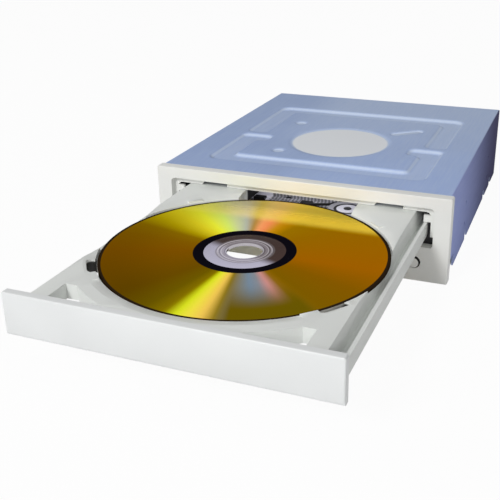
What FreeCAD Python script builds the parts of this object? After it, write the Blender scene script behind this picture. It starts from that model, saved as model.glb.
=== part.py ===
import FreeCAD, Part
import math
import os
import Sketcher
from types import SimpleNamespace

# Driving dimensions in millimetres and degrees. x runs to the right, y from the bezel's face
# into the drive and z up from the underside. The tray is described in its closed place.
SIZES = {
    # casing
    "chassis_width": 146.0,
    "chassis_height": 41.3,
    "drive_depth": 170.4,
    "sheet": 0.8,
    "bend_radius": 0.7,
    "fold_gap": 0.3,
    "rear_window_top": 17.5,
    "rear_leg": 6.0,
    "notch_height": 4.5,
    "notch_length": 6.5,
    "notch_first": 55.5,
    "notch_second": 120.0,
    "notch_third": 145.5,
    "corner_cut_length": 17.0,
    "corner_cut_height": 6.5,
    "channel_inset": 15.0,
    "channel_front": 21.0,
    "channel_rear": 136.0,
    "channel_width": 13.5,
    "channel_depth": 0.9,
    "channel_slope": 3.2,
    "channel_break": 73.5,
    "channel_break_gap": 2.6,
    "channel_radius": 7.0,
    "channel_end_radius": 4.5,
    "channel_tight_radius": 1.5,
    "hook_width": 13.0,
    "hook_reach": 38.0,
    "mark_radius": 28.0,
    "mark_depth": 0.35,
    "mark_rim": 3.5,
    "dimple_radius": 2.4,
    "dimple_depth": 0.5,
    "dimple_rear_x": -32.0,
    "dimple_rear_y": 102.0,
    "dimple_front_x": -27.0,
    "dimple_front_y": 45.0,
    "groove_x": 25.0,
    "groove_y": 95.0,
    "groove_run": 11.0,
    "groove_rise": 9.0,
    # mounting holes
    "first_hole": 52.3,
    "hole_pitch": 79.25,
    "bottom_hole_inset": 3.15,
    "side_hole_low": 10.0,
    "side_hole_rise": 11.84,
    "screw_hole_radius": 1.25,
    "hole_collar_radius": 2.0,
    "hole_collar_height": 1.5,
    "screw_relief_radius": 2.3,
    "screw_relief_depth": 5.0,
    # bottom pan
    "pan_flange": 4.5,
    "flange_relief": 2.8,
    "pan_press": 0.5,
    "pan_press_half": 40.0,
    "pan_dimple_front": 1.9,
    "pan_dimple_radius": 6.0,
    "pan_screw_radius": 1.3,
    "pan_screw_head": 2.4,
    "pan_screw_head_thick": 0.8,
    "pan_screw_length": 11.0,
    "pan_screw_set": 4.5,
    "pan_screw_front": 30.0,
    "pan_screw_back": 5.5,
    # bezel
    "bezel_overhang": 1.25,
    "bezel_rise": 0.35,
    "bezel_thick": 4.95,
    "bezel_round": 0.6,
    "bezel_corner": 0.9,
    "bezel_plate": 2.6,
    "bezel_wall": 1.8,
    "panel_gap": 0.95,
    "panel_gap_low": 0.5,
    "recess_depth": 3.4,
    "recess_corner": 2.0,
    "opening_corner": 1.2,
    "moulded_corner": 1.2,
    "lip_side": 1.95,
    "lip_top": 2.95,
    "lip_foot": 4.0,
    "lip_corner": 2.5,
    "lip_round": 1.5,
    "foot_notch_width": 5.4,
    "lip_notch_left": -50.8,
    "lip_notch_right": 37.9,
    "lip_notch_width": 13.6,
    "lip_notch_ramp": 1.7,
    "hold_down_reach": 3.4,
    "hold_down_height": 3.3,
    "hold_down_gap": 0.3,
    "button_inset": 14.7,
    "front_row_z": 9.1,
    "button_radius": 2.4,
    "button_gap": 0.7,
    "button_proud": 1.3,
    "button_stroke": 1.2,
    "button_flange": 3.6,
    "button_flange_thick": 1.0,
    "flange_play": 1.2,
    "button_back_gap": 0.1,
    "button_stem": 2.2,
    "button_round": 0.5,
    "switch_width": 6.0,
    "switch_depth": 4.0,
    "switch_height": 6.3,
    "lamp_inset": 28.0,
    "lamp_width": 4.6,
    "lamp_height": 1.8,
    "lens_sink": 0.15,
    "status_led_radius": 1.45,
    "status_led_depth": 2.0,
    "release_x": -24.0,
    "release_radius": 0.8,
    "clip_height": 5.3,
    "clip_length": 11.0,
    "clip_thick": 1.0,
    "clip_low": 1.2,
    "clip_high": 22.5,
    # tray
    "tray_travel": 131.0,
    "panel_proud": 0.9,
    "panel_inset": 7.5,
    "panel_height": 17.7,
    "panel_thick": 3.2,
    "panel_low": 17.5,
    "panel_round": 0.6,
    "panel_corner": 1.0,
    "panel_bevel": 1.2,
    "tray_rear": 159.0,
    "deck_height": 32.9,
    "side_channel": 3.8,
    "deck_draft": 0.8,
    "deck_under": 26.5,
    "channel_floor": 25.0,
    "tray_wall": 1.5,
    "tray_play": 0.4,
    "rib_top": 28.0,
    "rib_foot": 21.0,
    "recess_gap": 0.7,
    "seat_height": 30.0,
    "seat_width": 2.9,
    "seat_step": 0.7,
    "small_disc_radius": 40.6,
    "small_disc_step": 1.2,
    "rim_low": 31.8,
    "rim_run": 4.6,
    "slot_left": 27.0,
    "slot_right": 30.0,
    "slot_reach": 24.0,
    "slot_round": 8.0,
    "window_front": 6.0,
    "window_rear": 17.0,
    "window_inset": 7.5,
    "window_arc": 70.2,
    "tab_width": 7.0,
    "tab_reach": 61.0,
    "tab_root": 67.0,
    "tab_under": 31.5,
    "tab_thick": 1.1,
    "front_tab_angle": 45.0,
    "rear_tab_angle": 44.0,
    "tab_slot_radius": 2.2,
    "tab_slot_inset": 4.9,
    "tab_slot_y": 32.9,
    "tab_slot_run": 4.8,
    "tab_slot_rise": 6.5,
    "hollow_inset": 7.5,
    "hollow_width": 17.0,
    "hollow_front": 128.0,
    "hollow_roof": 31.9,
    # disc
    "disc_radius": 60.0,
    "disc_hole_radius": 7.5,
    "disc_thick": 1.2,
    "stack_ring_radius": 17.0,
    "stack_ring_height": 0.15,
    "stack_ring_wide": 1.0,
    # gear train
    "tooth_module": 1.0,
    "tooth_addendum": 0.8,
    "tooth_dedendum": 1.15,
    "tooth_play": 0.3,
    "tooth_bite": 0.3,
    "pressure_angle": 20.0,
    "rack_inset": 5.5,
    "rack_back": 3.8,
    "rack_under": 22.8,
    "rack_teeth": 45,
    "tray_gear_teeth": 24,
    "big_gear_teeth": 30,
    "small_gear_teeth": 12,
    "gear_line_y": 24.0,
    "gear_low": 15.4,
    "gear_thick": 3.2,
    "tray_gear_low": 22.9,
    "tray_gear_high": 26.1,
    "gear_hub_radius": 5.0,
    "gear_post_radius": 1.9,
    "post_play": 0.06,
    "pulley_radius": 10.0,
    "pulley_low": 19.0,
    "pulley_high": 21.6,
    "pulley_groove": 0.9,
    "belt_square": 1.1,
    "belt_play": 0.15,
    "motor_from_pulley": 33.0,
    "motor_y": 18.6,
    "motor_radius": 12.2,
    "motor_height": 10.6,
    "motor_shaft_radius": 1.0,
    "motor_low": 2.6,
    "bushing_radius": 3.0,
    "bushing_height": 1.0,
    "motor_pulley_radius": 3.0,
    # cam slider
    "slider_left": -41.0,
    "pocket_inset": 2.4,
    "slider_right": 10.5,
    "slider_front": 30.6,
    "slider_step": 36.9,
    "slider_rear": 38.9,
    "slider_low": 15.2,
    "slider_top": 18.4,
    "cam_low": 9.0,
    "cam_top": 20.6,
    "pocket_pitch": 6.0,
    "pocket_count": 7,
    "pocket_length": 4.4,
    "cam_travel": 14.0,
    "cam_pin_radius": 1.2,
    "cam_pin_gap": 0.3,
    "cam_pin_left": -31.0,
    "cam_pin_right": -6.0,
    "cam_pin_z": 17.6,
    "guide_overlap": 1.8,
    "guide_gap": 0.25,
    "hook_left": -34.0,
    "hook_right": -8.0,
    "hook_length": 6.0,
    # base frame
    "frame_gap": 0.7,
    "frame_front": 5.4,
    "frame_back": 9.9,
    "rail_width": 14.5,
    "rail_low": 8.0,
    "rail_top": 20.7,
    "wall_step": 6.1,
    "wall_thick": 2.2,
    "wall_top": 35.2,
    "web_low": 13.2,
    "web_top": 15.0,
    "deck_edge": 36.4,
    "web_width": 11.0,
    "window_end": 147.0,
    "hold_down_overlap": 1.6,
    "hold_down_length": 9.0,
    "hold_down_first": 6.0,
    "hold_down_pitch": 52.0,
    "hold_down_count": 3,
    "boss_radius": 3.2,
    "rib_pitch": 15.0,
    "rib_count": 9,
    # clamp
    "spindle_y": 71.0,
    "bridge_width": 34.0,
    "bridge_sheet": 1.2,
    "puck_hole_radius": 12.6,
    "puck_radius": 12.2,
    "puck_flange": 15.0,
    "puck_low": 32.0,
    "puck_lift": 0.1,
    "puck_flange_thick": 1.5,
    "bridge_rib": 1.6,
    "clamp_plate_radius": 8.0,
    "clamp_plate_thick": 0.8,
    # traverse
    "pivot_y": 152.0,
    "pivot_z": 18.5,
    "traverse_tilt": 3.19,
    "traverse_gap": 4.0,
    "traverse_front": 43.0,
    "traverse_rear": 146.5,
    "traverse_low": 15.8,
    "traverse_top": 18.3,
    "traverse_rib": 2.4,
    "sled_window_half": 28.5,
    "sled_window_front": 86.0,
    "sled_window_rear": 144.0,
    "pivot_pin_radius": 1.5,
    "ear_inset": 6.0,
    "pivot_pin_length": 7.7,
    "damper_radius": 3.0,
    "cradle_gap": 0.3,
    "saddle_inset": 2.0,
    "saddle_width": 6.0,
    "motor_sink": 0.5,
    "spindle_plate_radius": 16.0,
    "spindle_plate_thick": 1.2,
    "stator_radius": 10.5,
    "stator_top": 24.6,
    "stator_poles": 9,
    "bearing_radius": 4.0,
    "rotor_radius": 13.0,
    "rotor_low": 20.2,
    "rotor_top": 26.4,
    "table_radius": 14.6,
    "table_top": 29.3,
    "pad_thick": 0.4,
    "pad_inner": 10.5,
    "hub_radius": 7.25,
    "hub_top": 31.6,
    "hub_slots": 6,
    "spindle_bore": 1.0,
    "rod_radius": 1.5,
    "rod_x": 24.0,
    "rod_z": 20.6,
    "rod_front": 84.0,
    "rod_rear": 146.0,
    "rod_hold": 3.0,
    "sled_width": 54.0,
    "sled_front": 88.0,
    "sled_rear": 108.0,
    "sled_low": 14.0,
    "sled_top": 23.5,
    "nut_width": 6.0,
    "nut_low": 18.6,
    "nut_top": 23.0,
    "nut_reach": 38.8,
    "lens_y": 95.0,
    "lens_radius": 3.2,
    "lens_top": 27.6,
    "lens_cover_top": 25.5,
    "lens_cover_half": 9.0,
    "screw_x": 36.5,
    "lead_screw_radius": 1.5,
    "lead_screw_front": 90.0,
    "lead_screw_rear": 145.4,
    "sled_motor_radius": 5.0,
    "sled_motor_length": 14.0,
    "sled_motor_grip": 4.0,
    # electronics
    "board_low": 3.6,
    "board_thick": 1.6,
    "chip_thick": 1.6,
    "capacitor_radius": 3.0,
    "capacitor_height": 5.4,
    "board_gap": 4.2,
    "board_front": 92.0,
    "board_back": 1.8,
    "data_socket_x": -1.0,
    "data_socket_width": 58.0,
    "data_socket_height": 8.9,
    "data_socket_depth": 9.0,
    "socket_sink": 0.2,
    "data_pins": 20,
    "pin_pitch": 2.54,
    "pin_side": 0.64,
    "power_socket_inset": 20.0,
    "power_socket_width": 23.0,
    "power_socket_height": 10.4,
    "power_socket_depth": 9.6,
    "power_pins": 4,
    "power_pin_pitch": 5.08,
    "power_pin_radius": 1.05,
    "sound_socket_inset": 19.0,
    "sound_socket_width": 12.6,
    "sound_socket_height": 6.4,
    "sound_pins": 4,
    "jumper_from_sound": 16.0,
    "jumper_columns": 3,
    "front_board_inner": 28.3,
    "front_board_outer": 8.2,
    "front_board_front": 6.5,
    "front_board_rear": 24.0,
    "front_board_low": 4.0,
    "front_board_thick": 1.2,
    "board_post_inner": 24.3,
    "board_post_outer": 8.3,
    "board_post_y": 20.0,
}

# Middles and sizes across and along of the packages on the main board.
CHIPS = [
    (-22.0, 112.0, 22.0, 22.0),
    (20.0, 108.0, 12.0, 18.4),
    (46.0, 122.0, 14.0, 10.0),
    (-48.0, 138.0, 9.0, 6.4),
]
CAPACITORS = (-12.0, 18.0)


# Sub-parts that move together when the drive is put down with its tray open.
CASING = "casing"
TRAY = "tray"
TRAVERSE = "traverse"

# Cuts run this far past the face they open.
OVER = 1.0

PLANES = {
    "top": ("XY_Plane", 1),
    "front": ("XZ_Plane", -1),
    "side": ("YZ_Plane", 1),
}

doc = FreeCAD.newDocument("dvd_writer")


class Size:
    """A number together with the formula of sheet cells that gives it."""

    def __init__(self, number, text):
        self.number = float(number)
        self.text = text

    def __add__(self, other):
        return combine(self, "+", other)

    def __radd__(self, other):
        return combine(other, "+", self)

    def __sub__(self, other):
        return combine(self, "-", other)

    def __rsub__(self, other):
        return combine(other, "-", self)

    def __mul__(self, other):
        return combine(self, "*", other)

    def __rmul__(self, other):
        return combine(other, "*", self)

    def __truediv__(self, other):
        return combine(self, "/", other)

    def __rtruediv__(self, other):
        return combine(other, "/", self)

    def __neg__(self):
        return combine(0, "-", self)


def as_size(value):
    """Turns a plain number into a Size; a Size stays as it is."""
    if isinstance(value, Size):
        return value
    return Size(value, f"({float(value)!r})")


def combine(left, sign, right):
    """Joins two sizes by one of the four rules of arithmetic."""
    left = as_size(left)
    right = as_size(right)
    rules = {
        "+": lambda a, b: a + b,
        "-": lambda a, b: a - b,
        "*": lambda a, b: a * b,
        "/": lambda a, b: a / b,
    }
    return Size(rules[sign](left.number, right.number), f"({left.text} {sign} {right.text})")


def sine(angle):
    return Size(math.sin(math.radians(angle.number)), f"sin({angle.text} * 1 deg)")


def cosine(angle):
    return Size(math.cos(math.radians(angle.number)), f"cos({angle.text} * 1 deg)")


def tangent(angle):
    return Size(math.tan(math.radians(angle.number)), f"tan({angle.text} * 1 deg)")


def arc_tangent(ratio):
    return Size(math.degrees(math.atan(ratio.number)), f"(atan({ratio.text}) / 1 deg)")


def arc_cosine(ratio):
    return Size(math.degrees(math.acos(ratio.number)), f"(acos({ratio.text}) / 1 deg)")


def square_root(value):
    return Size(math.sqrt(value.number), f"sqrt({value.text})")


def size_sheet():
    """Fills the sheet and returns its cells as sizes."""
    sheet = doc.addObject("Spreadsheet::Sheet", "Dims")
    for row, (name, number) in enumerate(SIZES.items(), start=1):
        sheet.set(f"A{row}", name)
        sheet.set(f"B{row}", str(number))
        sheet.setAlias(f"B{row}", name)
    doc.recompute()
    return SimpleNamespace(**{name: Size(sheet.get(name), f"Dims.{name}") for name in SIZES})


s = size_sheet()


def bind(thing, path, value):
    """Ties a property, or one part of it, to a size."""
    thing.setExpression(path, as_size(value).text)


def seat(thing, group, x=0, y=0, z=0):
    """Puts a sub-part at a point of its group and moves it as the group lies at rest."""
    y = as_size(y)
    z = as_size(z)
    if group == TRAY:
        y = y - s.tray_travel
    if group == TRAVERSE:
        ahead = y - s.pivot_y
        above = z - s.pivot_z
        y = s.pivot_y + ahead * cosine(s.traverse_tilt) - above * sine(s.traverse_tilt)
        z = s.pivot_z + ahead * sine(s.traverse_tilt) + above * cosine(s.traverse_tilt)
        turn_axis = FreeCAD.Vector(1, 0, 0)
        turned = FreeCAD.Rotation(turn_axis, s.traverse_tilt.number)
        thing.Placement = FreeCAD.Placement(FreeCAD.Vector(), turned)
        bind(thing, "Placement.Rotation.Angle", s.traverse_tilt)
    bind(thing, "Placement.Base.x", x)
    bind(thing, "Placement.Base.y", y - s.first_hole - s.hole_pitch / 2)
    bind(thing, "Placement.Base.z", z)


def new_body(name, group=CASING, x=0, y=0, z=0):
    body = doc.addObject("PartDesign::Body", name)
    body.Label = name
    body.AllowCompound = True
    seat(body, group, x, y, z)
    return body


class Drawing:
    """The lines, arcs and circles of one sketch, and the rules that fix them."""

    def __init__(self):
        self.shapes = []
        self.rules = []

    def add(self, shape):
        self.shapes.append(shape)
        return len(self.shapes) - 1

    def line(self, start, end):
        return self.add(Part.LineSegment(FreeCAD.Vector(*start, 0), FreeCAD.Vector(*end, 0)))

    def arc(self, centre, radius, first, last):
        ring = Part.Circle(FreeCAD.Vector(*centre, 0), FreeCAD.Vector(0, 0, 1), radius)
        return self.add(Part.ArcOfCircle(ring, first, last))

    def rule(self, kind, *where, value=None):
        self.rules.append((kind, where, value))

    def pin(self, shape, end, x=None, y=None):
        if x is not None:
            self.rule("DistanceX", -1, 1, shape, end, value=as_size(x))
        if y is not None:
            self.rule("DistanceY", -1, 1, shape, end, value=as_size(y))

    def fill(self, sketch):
        sketch.addGeometry(self.shapes, False)
        made = []
        for kind, where, value in self.rules:
            numbers = () if value is None else (value.number,)
            made.append(Sketcher.Constraint(kind, *where, *numbers))
        sketch.addConstraint(made)
        for index, (kind, where, value) in enumerate(self.rules):
            if value is not None:
                sketch.setExpression(f"Constraints[{index}]", value.text)


def numbers_of(points):
    return [(as_size(x).number, as_size(y).number) for x, y in points]


def circle(x, y, radius):
    def draw(drawing):
        centre = FreeCAD.Vector(as_size(x).number, as_size(y).number, 0)
        shape = drawing.add(Part.Circle(centre, FreeCAD.Vector(0, 0, 1), as_size(radius).number))
        drawing.pin(shape, 3, x, y)
        drawing.rule("Radius", shape, value=as_size(radius))
    return draw


def polygon(points):
    """Straight sides through the given points, each of which is pinned."""
    def draw(drawing):
        flat = numbers_of(points)
        count = len(flat)
        lines = [drawing.line(flat[i], flat[(i + 1) % count]) for i in range(count)]
        for i, (x, y) in enumerate(points):
            drawing.rule("Coincident", lines[i], 2, lines[(i + 1) % count], 1)
            drawing.pin(lines[i], 1, x, y)
    return draw


def stepped(points, radii):
    """Sides along the two axes through the given points, each corner with its radius or None."""
    def draw(drawing):
        flat = numbers_of(points)
        count = len(flat)
        ways = []
        for i in range(count):
            (x, y), (next_x, next_y) = flat[i], flat[(i + 1) % count]
            run = math.hypot(next_x - x, next_y - y)
            ways.append(((next_x - x) / run, (next_y - y) / run))
        cuts = [0.0 if radius is None else as_size(radius).number for radius in radii]
        lines = []
        for i in range(count):
            end = (i + 1) % count
            start_point = [flat[i][k] + ways[i][k] * cuts[i] for k in (0, 1)]
            end_point = [flat[end][k] - ways[i][k] * cuts[end] for k in (0, 1)]
            lines.append(drawing.line(start_point, end_point))
        for i, (x, y) in enumerate(points):
            upright = abs(ways[i][0]) < abs(ways[i][1])
            drawing.rule("Vertical" if upright else "Horizontal", lines[i])
            drawing.pin(lines[i], 1, x if upright else None, None if upright else y)
            before = lines[i - 1]
            if radii[i] is None:
                drawing.rule("Coincident", before, 2, lines[i], 1)
                continue
            arrive, leave = ways[i - 1], ways[i]
            centre = [flat[i][k] + (leave[k] - arrive[k]) * cuts[i] for k in (0, 1)]
            left = arrive[0] * leave[1] - arrive[1] * leave[0] > 0
            first = math.atan2(-leave[1], -leave[0]) if left else math.atan2(arrive[1], arrive[0])
            arc = drawing.arc(centre, cuts[i], first, first + math.pi / 2)
            drawing.rule("Tangent", before, 2, arc, 1 if left else 2)
            drawing.rule("Tangent", arc, 2 if left else 1, lines[i], 1)
            drawing.rule("Radius", arc, value=as_size(radii[i]))
    return draw


def sorted_pair(first, second):
    """Two sizes, the smaller first."""
    if as_size(first).number > as_size(second).number:
        return second, first
    return first, second


def box(left, right, low, high, radius=None):
    corners = [(left, low), (right, low), (right, high), (left, high)]
    return stepped(corners, [radius] * len(corners))


def belt(x1, y1, r1, x2, y2, r2):
    """Two round ends joined by their outer tangents; with equal radii it is a slot."""
    def draw(drawing):
        ends = numbers_of([(x1, y1), (x2, y2)])
        radii = [as_size(r1).number, as_size(r2).number]
        run = math.dist(*ends)
        heading = math.atan2(ends[1][1] - ends[0][1], ends[1][0] - ends[0][0])
        lean = math.acos((radii[0] - radii[1]) / run)
        first = drawing.arc(ends[0], radii[0], heading + lean, heading - lean + 2 * math.pi)
        second = drawing.arc(ends[1], radii[1], heading - lean, heading + lean)

        def touch(which, side):
            angle = heading + side * lean
            x, y = ends[which]
            return (x + radii[which] * math.cos(angle), y + radii[which] * math.sin(angle))

        upper = drawing.line(touch(0, 1), touch(1, 1))
        lower = drawing.line(touch(1, -1), touch(0, -1))
        drawing.rule("Tangent", first, 1, upper, 1)
        drawing.rule("Tangent", upper, 2, second, 2)
        drawing.rule("Tangent", second, 1, lower, 1)
        drawing.rule("Tangent", lower, 2, first, 2)
        for arc, x, y, radius in ((first, x1, y1, r1), (second, x2, y2, r2)):
            drawing.pin(arc, 3, x, y)
            drawing.rule("Radius", arc, value=as_size(radius))
    return draw


def origin_part(body, role):
    return next(part for part in body.Origin.OriginFeatures if part.Role == role)


def sketch_on(body, plane, level, outlines, shift=0):
    """Draws outlines on a plane of the body's own origin, at a level along the plane's axis."""
    role, way = PLANES[plane]
    sketch = body.newObject("Sketcher::SketchObject", f"{body.Name}_outline")
    sketch.AttachmentSupport = [(origin_part(body, role), "")]
    sketch.MapMode = "FlatFace"
    bind(sketch, "AttachmentOffset.Base.z", level if way > 0 else -as_size(level))
    bind(sketch, "AttachmentOffset.Base.x", shift)
    drawing = Drawing()
    for outline in outlines:
        outline(drawing)
    drawing.fill(sketch)
    return sketch


def extrude(body, kind, plane, low, high, outlines, taper=None, downward=False):
    """Adds or cuts the prism that the outlines give between two levels."""
    grows = kind == "Pad"
    ahead = PLANES[plane][1] > 0
    start = low if grows == ahead else high
    if downward:
        start = high
    sketch = sketch_on(body, plane, start, outlines)
    feature = body.newObject(f"PartDesign::{kind}", f"{body.Name}_{kind.lower()}")
    feature.Profile = sketch
    bind(feature, "Length", as_size(high) - low)
    feature.Reversed = downward and grows
    if taper is not None:
        bind(feature, "TaperAngle", taper)
    return feature


def pad(body, plane, low, high, *outlines, **extra):
    return extrude(body, "Pad", plane, low, high, outlines, **extra)


def cut(body, plane, low, high, *outlines, **extra):
    return extrude(body, "Pocket", plane, low, high, outlines, **extra)


def turn(body, kind, outline, plane="front", shift=0):
    """Revolves an outline about the upright axis, which lies at the given shift in its plane."""
    sketch = sketch_on(body, plane, 0, [outline], shift)
    feature = body.newObject(f"PartDesign::{kind}", f"{body.Name}_{kind.lower()}")
    feature.Profile = sketch
    feature.ReferenceAxis = (sketch, ["V_Axis"])
    feature.Angle = 360
    return feature


def mirrored(body, *features):
    """Repeats features on the other side of the drive's middle plane."""
    copy = body.newObject("PartDesign::Mirrored", f"{body.Name}_mirror")
    copy.Originals = list(features)
    copy.MirrorPlane = (origin_part(body, "YZ_Plane"), [""])
    body.Tip = copy
    return copy


def in_line(body, features, axis, pitch, count, back=False):
    """Repeats features along an axis, one pitch apart."""
    row = body.newObject("PartDesign::LinearPattern", f"{body.Name}_row")
    row.Originals = list(features)
    row.Direction = (origin_part(body, f"{axis}_Axis"), [""])
    row.Reversed = back
    bind(row, "Length", pitch * (count - 1))
    bind(row, "Occurrences", count)
    body.Tip = row
    return row


def in_ring(body, features, count):
    """Repeats features evenly about the body's upright axis."""
    ring = body.newObject("PartDesign::PolarPattern", f"{body.Name}_ring")
    ring.Originals = list(features)
    ring.Axis = (origin_part(body, "Z_Axis"), [""])
    ring.Angle = 360
    bind(ring, "Occurrences", count)
    body.Tip = ring
    return ring


def lies_at(edge, **places):
    """True where the whole edge lies at each place given as x, y or z in the body's own frame."""
    bounds = edge.BoundBox
    spans = {
        "x": (bounds.XMin, bounds.XMax),
        "y": (bounds.YMin, bounds.YMax),
        "z": (bounds.ZMin, bounds.ZMax),
    }
    near = 0.01
    for axis, value in places.items():
        place = as_size(value).number
        if any(abs(bound - place) > near for bound in spans[axis]):
            return False
    return True


def ease_edges(body, kind, amount, chosen):
    """Rounds or bevels the chosen edges of what the body has so far."""
    doc.recompute()
    base = body.Tip
    names = [f"Edge{i}" for i, edge in enumerate(base.Shape.Edges, start=1) if chosen(edge)]
    feature = body.newObject(f"PartDesign::{kind}", f"{body.Name}_{kind.lower()}")
    feature.Base = (base, names)
    bind(feature, "Radius" if kind == "Fillet" else "Size", amount)
    return feature


# Places that several pieces share.
half_chassis = s.chassis_width / 2
half_inside = half_chassis - s.sheet
frame_half = half_inside - s.frame_gap
rail_inner = frame_half - s.rail_width
window_half = rail_inner - s.web_width
wall_inner = frame_half - s.wall_step - s.wall_thick
rib_inner = wall_inner - s.tray_play - s.tray_wall
deck_half = rib_inner - s.side_channel
traverse_half = window_half - s.traverse_gap
pivot_pin_inner = traverse_half - s.ear_inset
pivot_pin_outer = pivot_pin_inner + s.pivot_pin_length
saddle_inner = pivot_pin_inner + s.saddle_inset
saddle_outer = saddle_inner + s.saddle_width
pan_screw_x = rail_inner + s.pan_screw_set
bottom_hole_x = half_chassis - s.bottom_hole_inset
board_half = half_inside - s.board_gap
button_x = half_chassis - s.button_inset
lamp_x = half_chassis - s.lamp_inset
half_panel = half_chassis - s.panel_inset
rack_line = deck_half - s.rack_inset
power_socket_x = s.power_socket_inset - half_chassis
sound_socket_x = half_chassis - s.sound_socket_inset
jumper_x = sound_socket_x - s.jumper_from_sound
cover_under = s.chassis_height - s.sheet
second_hole = s.first_hole + s.hole_pitch
side_hole_high = s.side_hole_low + s.side_hole_rise
rear_face = s.drive_depth
frame_rear = rear_face - s.frame_back
pan_screw_rear = frame_rear - s.pan_screw_back
board_rear = rear_face - s.board_back
panel_top = s.panel_low + s.panel_height
panel_back = s.panel_thick - s.panel_proud
half_opening = half_panel + s.panel_gap
opening_low = s.panel_low - s.panel_gap_low
opening_top = panel_top + s.panel_gap
board_top = s.board_low + s.board_thick
recess_radius = s.disc_radius + s.recess_gap
gear_line_x = rack_line - s.tray_gear_teeth * s.tooth_module / 2
pulley_x = gear_line_x - (s.big_gear_teeth + s.small_gear_teeth) * s.tooth_module / 2
motor_x = pulley_x - s.motor_from_pulley
pulley_middle = (s.pulley_low + s.pulley_high) / 2
bridge_top = s.wall_top + s.bridge_sheet
gear_bore = s.gear_post_radius + s.post_play
front_board_top = s.front_board_low + s.front_board_thick
button_back = s.bezel_thick + s.button_back_gap
switch_front = button_back + s.button_flange_thick + s.button_stem + s.button_stroke + s.button_back_gap
motor_top = s.motor_low + s.motor_height
sled_motor_rear = s.lead_screw_front + s.sled_motor_grip
motor_front = sled_motor_rear - s.tray_wall - s.sled_motor_length
ahead_of_pivot = s.pivot_y - (s.slider_step + s.slider_rear) / 2
pin_rest_z = (s.pivot_z - ahead_of_pivot * sine(s.traverse_tilt)
              - (s.pivot_z - s.cam_pin_z) * cosine(s.traverse_tilt))


def channel_outlines():
    """The two U shapes pressed into the lid, the rear one first."""
    outer = half_chassis - s.channel_inset
    inner = outer - s.channel_width
    front = s.channel_front
    front_inner = front + s.channel_width
    rear = s.channel_rear
    rear_inner = rear - s.channel_width
    gap = s.channel_break_gap / 2
    stop = s.channel_break + gap
    hook = s.channel_break - gap
    hook_inner = hook - s.hook_width
    bend = s.channel_radius
    end = s.channel_end_radius
    tight = s.channel_tight_radius
    rear_u = stepped(
        [(-outer, stop), (-inner, stop), (-inner, rear_inner), (inner, rear_inner),
         (inner, stop), (outer, stop), (outer, rear), (-outer, rear)],
        [end, end, tight, tight, end, end, bend, bend])
    reach = s.hook_reach
    front_u = stepped(
        [(-outer, front), (outer, front), (outer, hook), (reach, hook), (reach, hook_inner),
         (inner, hook_inner), (inner, front_inner), (-inner, front_inner),
         (-inner, hook_inner), (-reach, hook_inner), (-reach, hook), (-outer, hook)],
        [bend, bend, end, end, end, tight, tight, tight, tight, end, end, end])
    return rear_u, front_u


def make_top_cover():
    body = new_body("top_cover")
    top = s.chassis_height
    front = s.bezel_thick
    pad(body, "top", 0, top, box(-half_chassis, half_chassis, front, rear_face))
    upper_bends = [
        {"x": half_chassis, "z": top},
        {"x": -half_chassis, "z": top},
        {"y": rear_face, "z": top},
        {"x": half_chassis, "y": rear_face},
        {"x": -half_chassis, "y": rear_face},
    ]
    ease_edges(body, "Fillet", s.bend_radius,
               lambda edge: any(lies_at(edge, **bend) for bend in upper_bends))
    cut(body, "top", -OVER, cover_under,
        box(-half_inside, half_inside, front - OVER, rear_face - s.sheet))
    leg = half_chassis - s.rear_leg
    cut(body, "front", rear_face - s.sheet - OVER, rear_face + OVER,
        box(-leg, leg, -OVER, s.rear_window_top))
    slope = arc_tangent(s.channel_slope / s.channel_depth)
    for outline in channel_outlines():
        pad(body, "top", cover_under - s.channel_depth, cover_under, outline,
            taper=-slope, downward=True)
        cut(body, "top", top - s.channel_depth, top, outline, taper=-slope)
    middle = s.spindle_y
    pad(body, "top", cover_under - s.mark_depth, cover_under, circle(0, middle, s.mark_radius))
    cut(body, "top", top - s.mark_depth, top, circle(0, middle, s.mark_radius),
        taper=-arc_tangent(s.mark_rim / s.mark_depth))
    small = s.dimple_radius
    dimples = [
        circle(s.dimple_rear_x, s.dimple_rear_y, small),
        circle(s.dimple_front_x, s.dimple_front_y, small),
        belt(s.groove_x, s.groove_y, small, s.groove_x + s.groove_run, s.groove_y + s.groove_rise,
             small),
    ]
    cut(body, "top", top - s.dimple_depth, top, *dimples)
    holes = [(y, z) for y in (s.first_hole, second_hole) for z in (s.side_hole_low, side_hole_high)]
    collars = pad(body, "side", half_inside - s.hole_collar_height, half_inside,
                  *[circle(y, z, s.hole_collar_radius) for y, z in holes])
    mirrored(body, collars)
    cut(body, "side", -half_chassis - OVER, half_chassis + OVER,
        *[circle(y, z, s.screw_hole_radius) for y, z in holes])
    notches = [
        box(start, start + s.notch_length, -OVER, s.notch_height)
        for start in (s.notch_first, s.notch_second, s.notch_third)
    ]
    corner = box(front - OVER, front + s.corner_cut_length, -OVER, s.corner_cut_height)
    cut(body, "side", -half_chassis - OVER, half_chassis + OVER, corner, *notches)
    return body


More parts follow.
